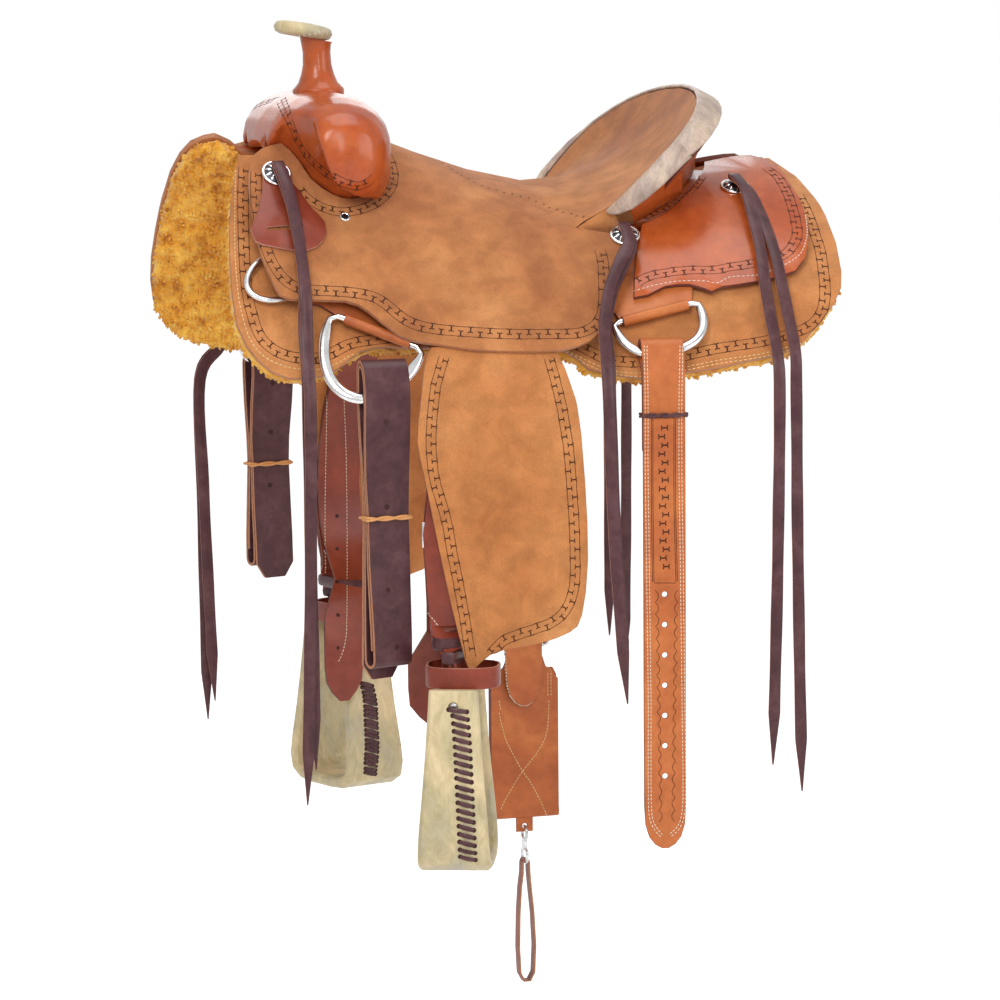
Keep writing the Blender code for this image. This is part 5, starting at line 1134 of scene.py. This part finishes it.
# Each step's upper and lower pixel with its distance
GUSSET = (
    ((578, 227, 0.1505), (579, 231, 0.1520)), ((590, 219, 0.1500), (592, 233, 0.1500)),
    ((601, 212, 0.1500), (606, 234, 0.1480)), ((612, 206, 0.1530), (620, 231, 0.1450)),
    ((628, 202, 0.1560), (634, 224, 0.1410)), ((645, 190, 0.1620), (649, 214, 0.1380)),
    ((662, 174, 0.1640), (664, 204, 0.1330)), ((680, 160, 0.1580), (682, 193, 0.1180)),
)
for side, sign in SIDES:
    flip = Vector((1, -sign, 1))
    tongue = Batch("binding_end_" + side, "saddle", MARBLED)
    spine = [on_ray(x, y, depth) for x, y, _, depth in TONGUE]
    rings = []
    for i, (_, _, half, _) in enumerate(TONGUE):
        way = heading(spine, i)
        over = way.cross((BACK + Vector((0, -0.5, 0.25))).normalized()).normalized()
        out = over.cross(way).normalized()
        wide = half * 1.04 * MM
        thick = min(4.4 * MM, wide * 0.55)
        ring = []
        for k in range(20):
            c, s = cos(pi * k / 10), sin(pi * k / 10)
            q = spine[i] + over * (wide * c) + out * (thick * abs(s) ** 0.75 * (1 if s > 0 else -1))
            ring.append(q * flip)
        rings.append(ring)
    tongue.tube(rings)
    tongue.done(angle=None)
    for name, part, material in (("seat_end_", GUSSET[:5], SADDLE_SEAT), ("jockey_end_", GUSSET[3:], RUSSET)):
        patch = Batch(name + side, "saddle", material)
        rings = []
        for upper, lower in part:
            top, foot = on_ray(*upper), on_ray(*lower)
            bulge = Vector((0, -1, 0.4)) * 2.0 * MM
            row = [top.lerp(foot, k / 4) + bulge * sin(pi * k / 4) for k in range(5)]
            back = [q + Vector((0, 3.0 * MM, -0.8 * MM)) for q in row[::-1]]
            rings.append([q * flip for q in row + back])
        patch.tube(rings)
        patch.done()

# Punched holes of the straps, each a dark disc: painted shade in place of the hole
for node, spots, radius in (
    ("latigo_left", ((386, 422), (387, 507), (388, 590), (397, 647)), 2.9),
    ("latigo_right", ((273, 383), (271, 432), (270, 485)), 2.9),
    ("stirrup_leather_right", ((337, 516), (337, 549), (337, 582), (338, 615), (338, 648)), 2.2),
):
    for x, y in spots:
        place, normal = skin(node).seen(x, y)
        if place is not None:
            turned(batch("punched_hole_shade", body_of(node), DARK), place, normal,
                   ((radius, -0.4), (radius, 0.12), (radius * 0.6, 0.22), (0.2, 0.24)), 20)

# Whip stitches round the horn cap
cap = skin("horn_cap")
for place, normal in spaced(traced(cap, [(288, 34), (300, 35.5), (312, 35), (328, 31)]), 9):
    half = (UP * 2.6 - LEVEL) * MM
    foot, head = cap.near(place - half)[0], cap.near(place + half)[0]
    lace(batch("cap_whip", "saddle", MARBLED), foot, head, normal, 1.8, 0.9)

# Stage: a plain pale floor and soft studio light
WHITE = (1, 1, 1, 1)
floor_look = Look("floor", 0.7, Specular_IOR_Level=0.2, Emission_Color=WHITE)
floor_look.colour(floor_look.ramp(floor_look.noise(2, 2), (0.3, (0.86, 0.86, 0.86)), (0.7, (0.88, 0.88, 0.88))))
ray = floor_look.node("LightPath").outputs
glow = floor_look.node("Math", {"operation": "MULTIPLY_ADD"}, i0=ray["Is Camera Ray"], i1=0.36, i2=0.28)
floor_look.tree.links.new(glow.outputs[0], floor_look.shader.inputs["Emission Strength"])
bm = bmesh.new()
bmesh.ops.create_grid(bm, x_segments=1, y_segments=1, size=14)
bm.transform(Matrix.Translation((0, 0, cad_box[0][2] - 12 * MM)))
floor_mesh = bpy.data.meshes.new("floor")
bm.to_mesh(floor_mesh)
bm.free()
floor_mesh.materials.append(floor_look.mat)
link("floor", floor_mesh)

world = bpy.data.worlds.new("world")
bpy.context.scene.world = world
world.use_nodes = True
sky = world.node_tree
soft_back = sky.nodes["Background"]
soft_back.inputs["Color"].default_value = WHITE
soft_back.inputs["Strength"].default_value = 0.42
white_back = add_node(sky, "Background", Color=WHITE, Strength=1.0)
ray = add_node(sky, "LightPath").outputs
plain = add_node(sky, "Math", {"operation": "MULTIPLY_ADD", "use_clamp": True},
                 i0=ray["Is Glossy Ray"], i1=0.45, i2=ray["Is Camera Ray"])
choose = add_node(sky, "MixShader", i0=plain.outputs[0], i1=soft_back.outputs[0], i2=white_back.outputs[0])
sky.links.new(choose.outputs[0], sky.nodes["World Output"].inputs[0])
bpy.context.scene.view_settings.view_transform = "Standard"

AIM = Vector((-0.05, 0, -0.25))
for name, place, size, power in (
    ("key", (-1.5, -2.4, 1.7), (1.1, 1.5), 40), ("fill", (1.9, -2.2, 0.6), (1.2, 1.6), 19),
    ("strip", (-0.25, -2.6, 0.75), (0.30, 1.3), 9), ("top", (0.1, -0.3, 2.3), (1.6, 1.6), 20),
    ("rear", (0.3, 2.4, 1.0), (1.6, 1.4), 9),
):
    light = bpy.data.lights.new(name, "AREA")
    light.energy = power
    light.shape = "RECTANGLE"
    light.size, light.size_y = size
    lamp = link(name, light)
    lamp.location = place
    lamp.rotation_euler = (Vector(place) - AIM).to_track_quat("Z", "Y").to_euler()

for each in BATCHES.values():
    each.done()
